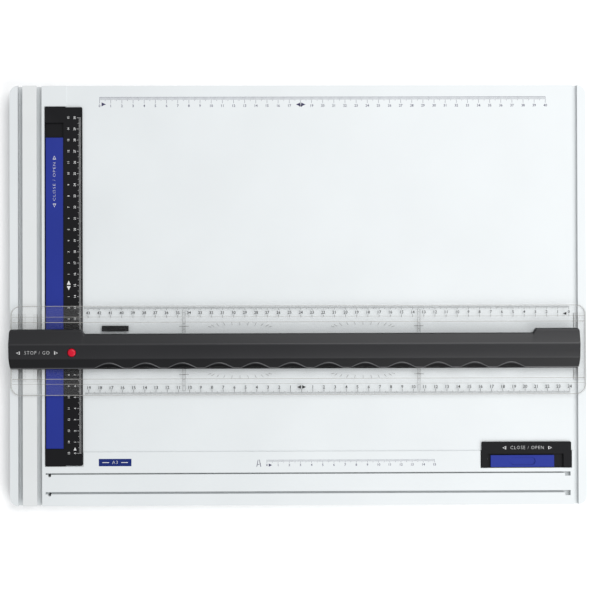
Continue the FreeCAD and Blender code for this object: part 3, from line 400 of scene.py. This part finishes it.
def bowed_end(x, y):
    """Ends bow outwards a little, with rounded corners at the front and the back."""
    middle, half = (FRONT + GRIP_HIGH.y) / 2, (GRIP_HIGH.y - FRONT) / 2
    off = abs(y - middle) / half
    corner = min(1, max(0, off - CORNER_STARTS) / (1 - CORNER_STARTS))
    draw_in = END_BOW * off ** 2 + END_CORNER * (1 - math.sqrt(1 - corner ** 2))
    left = max(0, 1 - (x - GRIP_LOW.x) / END_LENGTH)
    right = max(0, 1 - (GRIP_HIGH.x - x) / END_LENGTH)
    return x + draw_in * (left - right)


# Faces by place in each station: the scoops and the front slope take darker copies of the grip plastic
# as painted shade, the rim and crown beads lighter copies as painted highlight lines.
SCOOP_FACES, RIM_FACES, SLOPE_FACES, LINE_FACES = (0, 1, 2, 3), (5, 6), (7, 8), (12, 13)
FINISHES = {**dict.fromkeys(SCOOP_FACES, 1), **dict.fromkeys(RIM_FACES, 2),
            **dict.fromkeys(LINE_FACES, 3), **dict.fromkeys(SLOPE_FACES, 4)}
grip_mesh = bpy.data.meshes.new("grip_bar_body")
bar = bmesh.new()
STATION_PITCH = 0.8 * MM
station_count = math.ceil((GRIP_HIGH.x - GRIP_LOW.x) / STATION_PITCH)
stations = []
for number in range(station_count + 1):
    x = GRIP_LOW.x + (GRIP_HIGH.x - GRIP_LOW.x) * number / station_count
    over = grip_station(x)
    under = [(y, GRIP_LOW.z) for y, z in reversed(over[1:-1])]
    stations.append([bar.verts.new((bowed_end(x, y), y, z)) for y, z in over + under])
for before, after in zip(stations, stations[1:]):
    for place in range(len(before)):
        next_place = (place + 1) % len(before)
        face = bar.faces.new((before[place], after[place], after[next_place], before[next_place]))
        face.material_index = FINISHES.get(place, 0)
for end in (stations[0], stations[-1]):
    for place in range(len(end) // 2):
        corners = [end[place], end[place + 1], end[-place - 1], end[-place]]
        bar.faces.new(list(dict.fromkeys(corners)))
bmesh.ops.recalc_face_normals(bar, faces=bar.faces)
for face in bar.faces:
    face.smooth = True
bar.to_mesh(grip_mesh)
bar.free()
grip_plastic = moulded_plastic("grip_plastic", (0.0098, 0.0098, 0.0114), 0.40, grain=0.35,
                               pit=0.3 * MM, cloud=0.08, specular=0.32)
# The scoops get a darker copy of the grip plastic: painted shade for the shadow inside each scallop.
grip_scoop_painted_shade = moulded_plastic("grip_scoop_painted_shade", (0.0028, 0.0028, 0.0032), 0.38, specular=0.1)
# The front slope gets a darker copy of the grip plastic: painted shade, as it faces away from the key
# light.
grip_slope_painted_shade = moulded_plastic("grip_slope_painted_shade", (0.007, 0.007, 0.008), 0.38, specular=0.2)
# The rim bead gets a lighter copy of the grip plastic: a painted highlight line along the scallop
# rims.
grip_rim_painted_highlight = moulded_plastic("grip_rim_painted_highlight", (0.055, 0.055, 0.058), 0.3, cloud=0.1)
# The crown bead gets a lighter copy of the grip plastic: a painted highlight line along the crown.
grip_crown_painted_highlight = moulded_plastic("grip_crown_painted_highlight", (0.016, 0.016, 0.018), 0.38, cloud=0.1, specular=0.4)
for finish in (grip_plastic, grip_scoop_painted_shade, grip_rim_painted_highlight, grip_crown_painted_highlight, grip_slope_painted_shade):
    grip_mesh.materials.append(finish)
grip = bpy.data.objects.new("grip_bar_body", grip_mesh)
bpy.context.scene.collection.objects.link(grip)
grip_mesh.set_sharp_from_angle(angle=math.radians(14))
end_rounding = grip.modifiers.new("rounded_edges", "BEVEL")
end_rounding.width = 0.5 * MM
end_rounding.segments = 2
end_rounding.limit_method = "ANGLE"
end_rounding.angle_limit = math.radians(50)


def cut_away(piece, low, high, round_hole=False):
    """Takes a box, or a round hole that fits in it, out of a piece."""
    tool = bmesh.new()
    size, middle = Vector(high) - Vector(low), (Vector(high) + Vector(low)) / 2
    where = Matrix.Translation(middle) @ Matrix.Diagonal((*size, 1))
    if round_hole:
        bmesh.ops.create_cone(tool, cap_ends=True, segments=48, radius1=0.5, radius2=0.5, depth=1,
                              matrix=where)
    else:
        bmesh.ops.create_cube(tool, size=1, matrix=where)
    tool_mesh = bpy.data.meshes.new("cutter")
    tool.to_mesh(tool_mesh)
    tool.free()
    cutter = bpy.data.objects.new("cutter", tool_mesh)
    bpy.context.scene.collection.objects.link(cutter)
    cut = piece.modifiers.new("room", "BOOLEAN")
    cut.object = cutter
    cut.operation = "DIFFERENCE"
    cut.solver = "EXACT"
    bpy.context.view_layer.update()
    seen = piece.evaluated_get(bpy.context.evaluated_depsgraph_get())
    shaped = bpy.data.meshes.new_from_object(seen)
    piece.modifiers.clear()
    piece.data = shaped
    bpy.data.objects.remove(cutter)


CARRIER_LOW, CARRIER_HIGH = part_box("rule_carrier")
WALL = 1.7 * MM
CARRIER_ROOM = 0.4 * MM
LIP_THICK, LIP_WIDE, ROOF = 0.65 * MM, 2.7 * MM, 2.3 * MM
OVERRUN = 1 * MM
cut_away(grip, (GRIP_LOW.x + WALL, CARRIER_LOW.y - CARRIER_ROOM, GRIP_LOW.z + LIP_THICK),
         (GRIP_HIGH.x - WALL, CARRIER_HIGH.y + CARRIER_ROOM, GRIP_HIGH.z - ROOF))
cut_away(grip, (GRIP_LOW.x + WALL, CARRIER_LOW.y + LIP_WIDE, GRIP_LOW.z - OVERRUN),
         (GRIP_HIGH.x - WALL, CARRIER_HIGH.y - LIP_WIDE, GRIP_LOW.z + OVERRUN))
BUTTON_LOW, BUTTON_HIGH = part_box("stop_button")
button_middle = (BUTTON_LOW + BUTTON_HIGH) / 2
CAP = 3.7 * MM
HOLE = CAP + 0.3 * MM
cut_away(grip, (button_middle.x - HOLE, button_middle.y - HOLE, GRIP_HIGH.z - 4 * MM),
         (button_middle.x + HOLE, button_middle.y + HOLE, GRIP_HIGH.z + OVERRUN), round_hole=True)
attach(grip, "grip")
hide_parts("grip_bar")

# The red button is a glossy domed cap on a stem, in a hole with a thin dark gap around it. Its
# collar stays under the grip's top, and the spring pushes on the collar from below.
button_red = moulded_plastic("button_red", (0.52, 0.0015, 0.02), 0.3, cloud=0.04, specular=0.3)
STEM, COLLAR = 1.5 * MM, 4.5 * MM
COLLAR_UNDER, COLLAR_TOP = 25.4 * MM, 26.2 * MM
button = turned("red_button", "stop_button",
                [(0, BUTTON_LOW.z), (STEM, BUTTON_LOW.z), (STEM, COLLAR_UNDER),
                 (COLLAR, COLLAR_UNDER), (COLLAR, COLLAR_TOP), (CAP, COLLAR_TOP),
                 (CAP, BUTTON_HIGH.z - 1.3 * MM), (CAP - 0.35 * MM, BUTTON_HIGH.z - 0.75 * MM),
                 (CAP - 0.8 * MM, BUTTON_HIGH.z - 0.3 * MM), (CAP * 0.6, BUTTON_HIGH.z - 0.08 * MM),
                 (CAP * 0.3, BUTTON_HIGH.z - 0.015 * MM), (0, BUTTON_HIGH.z)],
                button_middle, button_red)
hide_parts("stop_button")

# The scales and words are printed in thin ink: grey-violet on the deck, black on the blade's
# underside and white on the black pieces. Each print is one piece on what it is printed on.
INK = 0.02 * MM
CM = 10 * MM


def printing_ink(name, colour):
    """Screen-printing ink, slightly uneven in tone."""
    return moulded_plastic(name, colour, 0.5, cloud=0.08, specular=0.1)


violet_ink = printing_ink("violet_ink", (0.055, 0.05, 0.10))
black_ink = printing_ink("black_ink", (0.008, 0.008, 0.009))
grey_ink = printing_ink("grey_ink", (0.06, 0.055, 0.05))
white_ink = printing_ink("white_ink", (0.60, 0.60, 0.60))
navy_ink = printing_ink("navy_ink", (0.008, 0.020, 0.13))
glyphs = {}
STROKE = {"digits": 0.012, "words": -0.02}


def glyph(text):
    """A word or number as a flat mesh with capitals one unit high, made once for each text."""
    if text not in glyphs:
        curve = bpy.data.curves.new("glyph", "FONT")
        curve.body = text
        curve.extrude = 0.5
        curve.offset = STROKE["digits" if text.isdigit() else "words"]
        curve.space_character = 1 if text.isdigit() else 1.2
        curve.resolution_u = 2
        curve.align_x = "CENTER"
        curve.align_y = "CENTER"
        shown = bpy.data.objects.new("glyph", curve)
        bpy.context.scene.collection.objects.link(shown)
        bpy.context.view_layer.update()
        letters = bpy.data.meshes.new_from_object(shown)
        bpy.data.objects.remove(shown)
        reach = [max(abs(vertex.co[way]) for vertex in letters.vertices) for way in (0, 1)]
        letters.transform(Matrix.Diagonal((0.5 / reach[1], 0.5 / reach[1], 1, 1)))
        glyphs[text] = letters
    return glyphs[text]


class Print:
    """One print: marks, numbers and signs laid on a flat face at height z."""

    def __init__(self, z):
        self.z = z
        self.shape = bmesh.new()

    def bar(self, x, y, wide, tall, turn=0.0):
        """A straight stroke about its middle."""
        where = (Matrix.Translation((x, y, self.z)) @ Matrix.Rotation(turn, 4, "Z")
                 @ Matrix.Diagonal((wide, tall, INK, 1)))
        bmesh.ops.create_cube(self.shape, size=1, matrix=where)

    def word(self, text, x, y, tall, turn=0.0, wide=None):
        """Lettering with capitals of the given height, drawn out to a given width if there is one."""
        letters = glyph(text)
        own_width = tall * max(vertex.co.x for vertex in letters.vertices) * 2
        stretch = wide / own_width if wide else 1
        count = len(self.shape.verts)
        self.shape.from_mesh(letters)
        self.shape.verts.ensure_lookup_table()
        where = (Matrix.Translation((x, y, self.z)) @ Matrix.Rotation(turn, 4, "Z")
                 @ Matrix.Diagonal((tall * stretch, tall, INK, 1)))
        bmesh.ops.transform(self.shape, matrix=where, verts=self.shape.verts[count:])

    def arrow(self, x, y, size, turn=0.0, hollow=0.0):
        """A triangle that points along its own +X, filled or drawn as an outline."""
        tips = [(0.6, 0), (-0.5, 0.5), (-0.5, -0.5)]
        where = Matrix.Translation((x, y, self.z)) @ Matrix.Rotation(turn, 4, "Z")
        rims = []
        for share in ((1, 1 - hollow) if hollow else (1,)):
            for level in (-0.5, 0.5):
                rims.append([self.shape.verts.new(where @ Vector((across * size * share,
                                                                  up * size * share, level * INK)))
                             for across, up in tips])
        if not hollow:
            self.shape.faces.new(rims[0])
            self.shape.faces.new(reversed(rims[1]))
            pairs = ((rims[0], rims[1]),)
        else:
            pairs = ((rims[0], rims[1]), (rims[1], rims[3]), (rims[3], rims[2]), (rims[2], rims[0]))
        for first, second in pairs:
            for side in range(3):
                after = (side + 1) % 3
                self.shape.faces.new((first[side], first[after], second[after], second[side]))

    def arrows(self, x, y, apart, size, turn=0.0, hollow=0.0):
        """Two arrows that point away from the place between them, each at that distance."""
        for side, about in ((-1, turn + math.pi), (1, turn)):
            self.arrow(x + side * apart * math.cos(turn), y + side * apart * math.sin(turn), size,
                       about, hollow)

    def scale(self, start, along, out, count, lengths, width=0.12 * MM):
        """Millimetre marks from start along one direction, standing out from the edge line."""
        turn = math.atan2(out[1], out[0])
        for mark in range(count + 1):
            long_mark = lengths[0] if mark % 10 == 0 else lengths[1] if mark % 5 == 0 else lengths[2]
            x = start[0] + along[0] * mark * MM + out[0] * long_mark / 2
            y = start[1] + along[1] * mark * MM + out[1] * long_mark / 2
            self.bar(x, y, long_mark, width, turn)

    def done(self, piece_name, body, ink):
        """The finished print, which moves with the body it is on."""
        bmesh.ops.remove_doubles(self.shape, verts=self.shape.verts, dist=0.0005 * MM)
        bmesh.ops.recalc_face_normals(self.shape, faces=self.shape.faces)
        mesh = bpy.data.meshes.new(piece_name)
        self.shape.to_mesh(mesh)
        self.shape.free()
        mesh.materials.append(ink)
        piece = bpy.data.objects.new(piece_name, mesh)
        bpy.context.scene.collection.objects.link(piece)
        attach(piece, body)
        return piece


UP = math.pi / 2

# The deck's upper scale runs for 40 cm along the top of the sunken field, with its marks up and
# its numbers below. A pair of arrows shows the middle, and one arrow the zero.
DECK_LOW, DECK_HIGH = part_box("deck_shell")
STRIP_GAP = 0.1 * MM
FIELD_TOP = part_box("rail_clamp_rubber_strip")[0].z - STRIP_GAP
PAPER_MIDDLE = (DECK_LOW.x + DECK_HIGH.x) / 2 + 2.5 * MM
upper_scale = Print(FIELD_TOP + INK / 2)
upper_zero = PAPER_MIDDLE - 180.3 * MM
upper_y = DECK_HIGH.y - 10.2 * MM
UPPER_MARKS = (5.6 * MM, 3.4 * MM, 2.5 * MM)
upper_scale.scale((upper_zero, upper_y), (1, 0), (0, -1), 400, UPPER_MARKS, 0.27 * MM)
upper_scale.bar(upper_zero + 20 * CM, upper_y, 40 * CM, 0.2 * MM)
for number in range(41):
    upper_scale.word(str(number), upper_zero + number * CM, upper_y - 7.9 * MM, 2.6 * MM)
upper_scale.arrow(upper_zero + 3.6 * MM, upper_y - 6.4 * MM, 3.6 * MM)
upper_scale.arrows(PAPER_MIDDLE, upper_y - 6.8 * MM, 2.1 * MM, 3.6 * MM)
upper_scale.done("deck_upper_scale", "board", violet_ink)

# The deck's lower scale is 15 cm long, on the ledge under the field, and starts at a thin
# capital letter. A dark plate with the sheet size stands left of it on the same ledge.
slot_mouths = {mount["name"]: mount["pos_m"] for mount in frame["record"]["mounts"]}
LEDGE_TOP = slot_mouths["upper_slot"][2]
lower_scale = Print(LEDGE_TOP + INK / 2)
lower_zero, lower_y = DECK_LOW.x + 229.3 * MM, DECK_LOW.y + 40.8 * MM
LOWER_MARKS = (3.0 * MM, 2.6 * MM, 1.9 * MM)
lower_scale.scale((lower_zero, lower_y), (1, 0), (0, -1), 150, LOWER_MARKS, 0.25 * MM)
for number in range(16):
    lower_scale.word(str(number), lower_zero + number * CM, lower_y - 4.9 * MM, 2.4 * MM)
lower_scale.arrow(lower_zero + 3.0 * MM, lower_y - 4.9 * MM, 2.8 * MM)
letter_x = lower_zero - 7.3 * MM
LETTER_LEAN = 0.2
for lean in (-LETTER_LEAN, LETTER_LEAN):
    lower_scale.bar(letter_x + lean * 6 * MM, lower_y - 3.2 * MM, 0.5 * MM, 6.4 * MM, lean)
lower_scale.bar(letter_x, lower_y - 4.2 * MM, 3.6 * MM, 0.4 * MM, 0.35)
lower_scale.done("deck_lower_scale", "board", violet_ink)
plate = Print(LEDGE_TOP + INK / 2)
plate_x, plate_y = DECK_LOW.x + 93.6 * MM, DECK_LOW.y + 38.7 * MM
plate.bar(plate_x, plate_y, 29.2 * MM, 6.6 * MM)
plate.done("deck_plate", "board", navy_ink)
plate_word = Print(LEDGE_TOP + INK * 1.5)
plate_word.word("A3", plate_x, plate_y, 3.2 * MM)
for side in (-1, 1):
    plate_word.bar(plate_x + side * 8.4 * MM, plate_y, 6 * MM, 0.6 * MM)
plate_word.done("deck_plate_word", "board", white_ink)

# The scale clamp's lip: millimetre marks at its edge, a 0 to 30 column beside them, and a
# column that counts both ways from the middle. The slider is lettered for its two ends.
JAW_LOW, JAW_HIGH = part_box("rail_clamp_jaw")
jaw_print = Print(JAW_HIGH.z + INK / 2)
jaw_zero = JAW_LOW.y + 11.6 * MM
JAW_MARKS = (3.6 * MM, 2.8 * MM, 1.9 * MM)
jaw_print.scale((JAW_HIGH.x - 1.3 * MM, jaw_zero), (0, 1), (-1, 0), 300, JAW_MARKS, 0.2 * MM)
BOTH_WAYS_X = JAW_HIGH.x - 12.4 * MM
for number in range(31):
    y = jaw_zero + number * CM
    jaw_print.word(str(number), JAW_HIGH.x - 6.8 * MM, y, 2.2 * MM, UP)
    if number != 15:
        jaw_print.word(str(abs(number - 15)), BOTH_WAYS_X, y, 2.0 * MM, UP)
jaw_print.arrow(JAW_HIGH.x - 7.0 * MM, jaw_zero + 3.8 * MM, 2.6 * MM, UP)
jaw_print.arrows(BOTH_WAYS_X, jaw_zero + 15 * CM, 2.3 * MM, 3.4 * MM, UP)
jaw_print.done("jaw_scale", "rail_jaw", white_ink)
SLIDER_LOW, SLIDER_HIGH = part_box("rail_clamp_slider")
slider_print = Print(SLIDER_HIGH.z + INK / 2)
slider_x = (SLIDER_LOW.x + SLIDER_HIGH.x) / 2
slider_y = SLIDER_HIGH.y - 39.3 * MM
slider_print.word("CLOSE / OPEN", slider_x, slider_y, 2.5 * MM, UP, wide=34 * MM)
slider_print.arrows(slider_x, slider_y, 21.3 * MM, 3.0 * MM, UP, hollow=0.4)
slider_print.done("slider_words", "rail_slider", white_ink)

# The corner clamp's words are printed on its black lip, between two hollow arrows. Its slider
# is plain but for the thumb dish, which is part of the moulding.
CORNER_LOW, CORNER_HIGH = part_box("corner_clamp_jaw")
corner_print = Print(CORNER_HIGH.z + INK / 2)
corner_x = (CORNER_LOW.x + CORNER_HIGH.x) / 2 + 0.7 * MM
corner_y = CORNER_HIGH.y - 5.5 * MM
corner_print.word("CLOSE / OPEN", corner_x, corner_y, 3.2 * MM, wide=29.5 * MM)
corner_print.arrows(corner_x, corner_y, 20.4 * MM, 3.0 * MM, hollow=0.4)
corner_print.done("corner_words", "corner_jaw", white_ink)

# The grip's words stand left of the red button, on the flat between the crown and the crease,
# and two hollow arrows show which way the grip slides.
CROWN_FALL = 0.12 * MM
grip_print = Print(GRIP_HIGH.z - CROWN_FALL)
words_x, words_y = GRIP_LOW.x + 25.6 * MM, BUTTON_LOW.y + CAP + 0.6 * MM
grip_print.word("STOP / GO", words_x, words_y, 3.3 * MM, wide=22 * MM)
grip_print.arrows(words_x, words_y, 16.7 * MM, 3.0 * MM, hollow=0.4)
grip_print.done("grip_words", "grip", white_ink)

# The blade's two long scales are printed on its underside, one along each bevelled edge. The
# upper one counts from the right end, and the lower one both ways from the paper's middle.
BLADE_LOW, BLADE_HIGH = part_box("rule_blade")
blade_print = Print(BLADE_LOW.z - INK / 2)
BLADE_MARKS = (2.8 * MM, 2.3 * MM, 1.7 * MM)
rule_zero = BLADE_HIGH.x - 15 * MM
marks_top = BLADE_HIGH.y - 1.2 * MM
blade_print.scale((rule_zero, marks_top), (-1, 0), (0, -1), 433, BLADE_MARKS, 0.3 * MM)
for number in range(44):
    x = rule_zero - number * CM
    blade_print.word(str(number), x, marks_top - 5.4 * MM, 3.0 * MM)
    blade_print.bar(x, marks_top - 8.6 * MM, 0.3 * MM, 2.2 * MM)
blade_print.arrow(rule_zero - 3.6 * MM, marks_top - 6.9 * MM, 2.8 * MM, math.pi)
marks_low = BLADE_LOW.y + 1.2 * MM
blade_print.scale((PAPER_MIDDLE + 24 * CM, marks_low), (-1, 0), (0, 1), 433, BLADE_MARKS,
                  0.3 * MM)
for number in range(-19, 25):
    x = PAPER_MIDDLE + number * CM
    if number != 0:
        blade_print.word(str(abs(number)), x, marks_low + 5.8 * MM, 3.2 * MM)
    blade_print.bar(x, marks_low + 3.4 * MM, 0.3 * MM, 1.6 * MM)
blade_print.arrows(PAPER_MIDDLE, marks_low + 6.0 * MM, 2.1 * MM, 3.2 * MM)
blade_print.done("blade_scales", "rule", black_ink)

# Fine grey marks on the blade's underside: two double scales across it, for spacing lines, and
# short strokes fanned out every 15 degrees on both sides of the grip.
fine_print = Print(BLADE_LOW.z - INK / 2)
blade_middle = (BLADE_LOW.y + BLADE_HIGH.y) / 2
FAN_WIDE, FAN_TALL = 28 * MM, 4 * MM
FINE_MARKS = (2.4 * MM, 1.6 * MM, 1.1 * MM)
for side in (-1, 1):
    x = PAPER_MIDDLE + side * 105 * MM
    for edge_side in (-1, 1):
        fine_print.scale((x - 1.6 * MM * edge_side, blade_middle - 36 * MM), (0, 1),
                         (edge_side, 0), 72, FINE_MARKS, 0.26 * MM)
    for level in (-1, 1):
        fine_print.bar(x, blade_middle + level * 21.5 * MM, 8.6 * MM, 0.3 * MM)
for centre_x in (-52.5 * MM, 57.5 * MM):
    for level in (-1, 1):
        for angle in range(15, 180, 15):
            turn = math.radians(angle) * level
            x = centre_x + FAN_WIDE * math.cos(turn)
            y = blade_middle + level * 20 * MM + FAN_TALL * math.sin(turn)
            fine_print.bar(x, y, 3.0 * MM, 0.26 * MM, turn)
fine_print.done("blade_fine_marks", "rule", grey_ink)

# The blade's top has four engraved lines along it, and a thin strip runs round its rim with
# round corners. Both are half-clear grey strips: painted highlight and painted shade for the light
# that the engraving and the cut edge bend. The small black plate on the underside is plain.
grooves = Print(BLADE_HIGH.z + INK / 2)
GROOVE_LONG = BLADE_HIGH.x - BLADE_LOW.x - 4 * MM
for offset, wide in ((30.1 * MM, 0.3 * MM), (25.3 * MM, 0.5 * MM), (-25.2 * MM, 0.5 * MM),
                     (-29.7 * MM, 0.3 * MM)):
    grooves.bar(0, blade_middle + offset, GROOVE_LONG, wide)
rims = Print(BLADE_LOW.z + INK / 2)
RIM, CORNER, CORNER_STROKES = 0.5 * MM, 8.5 * MM, 9
half_long = (BLADE_HIGH.x - BLADE_LOW.x) / 2 - RIM
half_wide = (BLADE_HIGH.y - BLADE_LOW.y) / 2 - RIM
stroke_turn = math.radians(90 / CORNER_STROKES)
for side in (-1, 1):
    rims.bar(0, blade_middle + side * half_wide, (half_long - CORNER) * 2, RIM)
    rims.bar(side * half_long, blade_middle, RIM, (half_wide - CORNER) * 2)
    for end in (-1, 1):
        for stroke in range(CORNER_STROKES):
            turn = stroke_turn * (stroke + 0.5)
            rims.bar(side * (half_long - CORNER + CORNER * math.cos(turn)),
                     blade_middle + end * (half_wide - CORNER + CORNER * math.sin(turn)),
                     RIM, CORNER * stroke_turn * 1.05, turn * side * end)
# Half-clear grey: painted highlight and painted shade for the light that the grooves and the cut rim
# bend.
groove_and_rim_painted_light = clear_acrylic("engraved_groove_painted_light", (0.40, 0.39, 0.37), 0.62, 0.4)
rims.done("blade_rims", "rule", groove_and_rim_painted_light)
grooves.done("blade_grooves", "rule", groove_and_rim_painted_light)
blade_plate = Print(BLADE_LOW.z - INK / 2)
blade_plate.bar(BLADE_LOW.x + 93.2 * MM, BLADE_HIGH.y - 20.4 * MM, 24 * MM, 4.9 * MM)
blade_plate.done("blade_plate", "rule", black_ink)

# A plain pale floor under everything. A broad soft light stands high behind the board on the
# right, a second one lower in front of it, and a pale surround fills the shadows.
FLOOR_REACH = 8
floor_mesh = bpy.data.meshes.new("floor")
floor_shape = bmesh.new()
bmesh.ops.create_grid(floor_shape, x_segments=1, y_segments=1, size=FLOOR_REACH)
floor_shape.to_mesh(floor_mesh)
floor_shape.free()
floor_finish = moulded_plastic("floor_paper", (0.985, 0.985, 0.985), 0.95, cloud=0.001, specular=0)
floor_mesh.materials.append(floor_finish)
floor = bpy.data.objects.new("floor", floor_mesh)
bpy.context.scene.collection.objects.link(floor)


def soft_light(name, place, size, power):
    """A square area light that faces the board."""
    lamp = bpy.data.lights.new(name, "AREA")
    lamp.size = size
    lamp.energy = power
    stand = bpy.data.objects.new(name, lamp)
    bpy.context.scene.collection.objects.link(stand)
    stand.location = place
    stand.rotation_euler = (-Vector(place)).to_track_quat("-Z", "Y").to_euler()


soft_light("key_light", (0.6, 0.85, 1.8), 1.4, 26)
soft_light("fill_light", (1.0, -1.0, 1.1), 1.5, 21)
world = bpy.data.worlds.new("studio")
world.use_nodes = True
world.node_tree.nodes["Background"].inputs["Color"].default_value = (0.97, 0.985, 1, 1)
world.node_tree.nodes["Background"].inputs["Strength"].default_value = 0.55
bpy.context.scene.world = world
bpy.context.scene.view_settings.view_transform = "Standard"

# The camera hangs straight above the board, close to its middle, and leans less than half a
# degree. Its long lens keeps the sides of the deck out of view.
CAMERA_PLACE = (-7.83 * MM, -12.02 * MM, 1200 * MM)
CAMERA_LEAN = (0.006432, -0.007710, -0.002933)
lens = bpy.data.cameras.new("camera")
lens.sensor_width = 36
lens.lens = 79.26
camera = bpy.data.objects.new("camera", lens)
camera.location = CAMERA_PLACE
camera.rotation_euler = CAMERA_LEAN
bpy.context.scene.collection.objects.link(camera)
bpy.context.scene.camera = camera
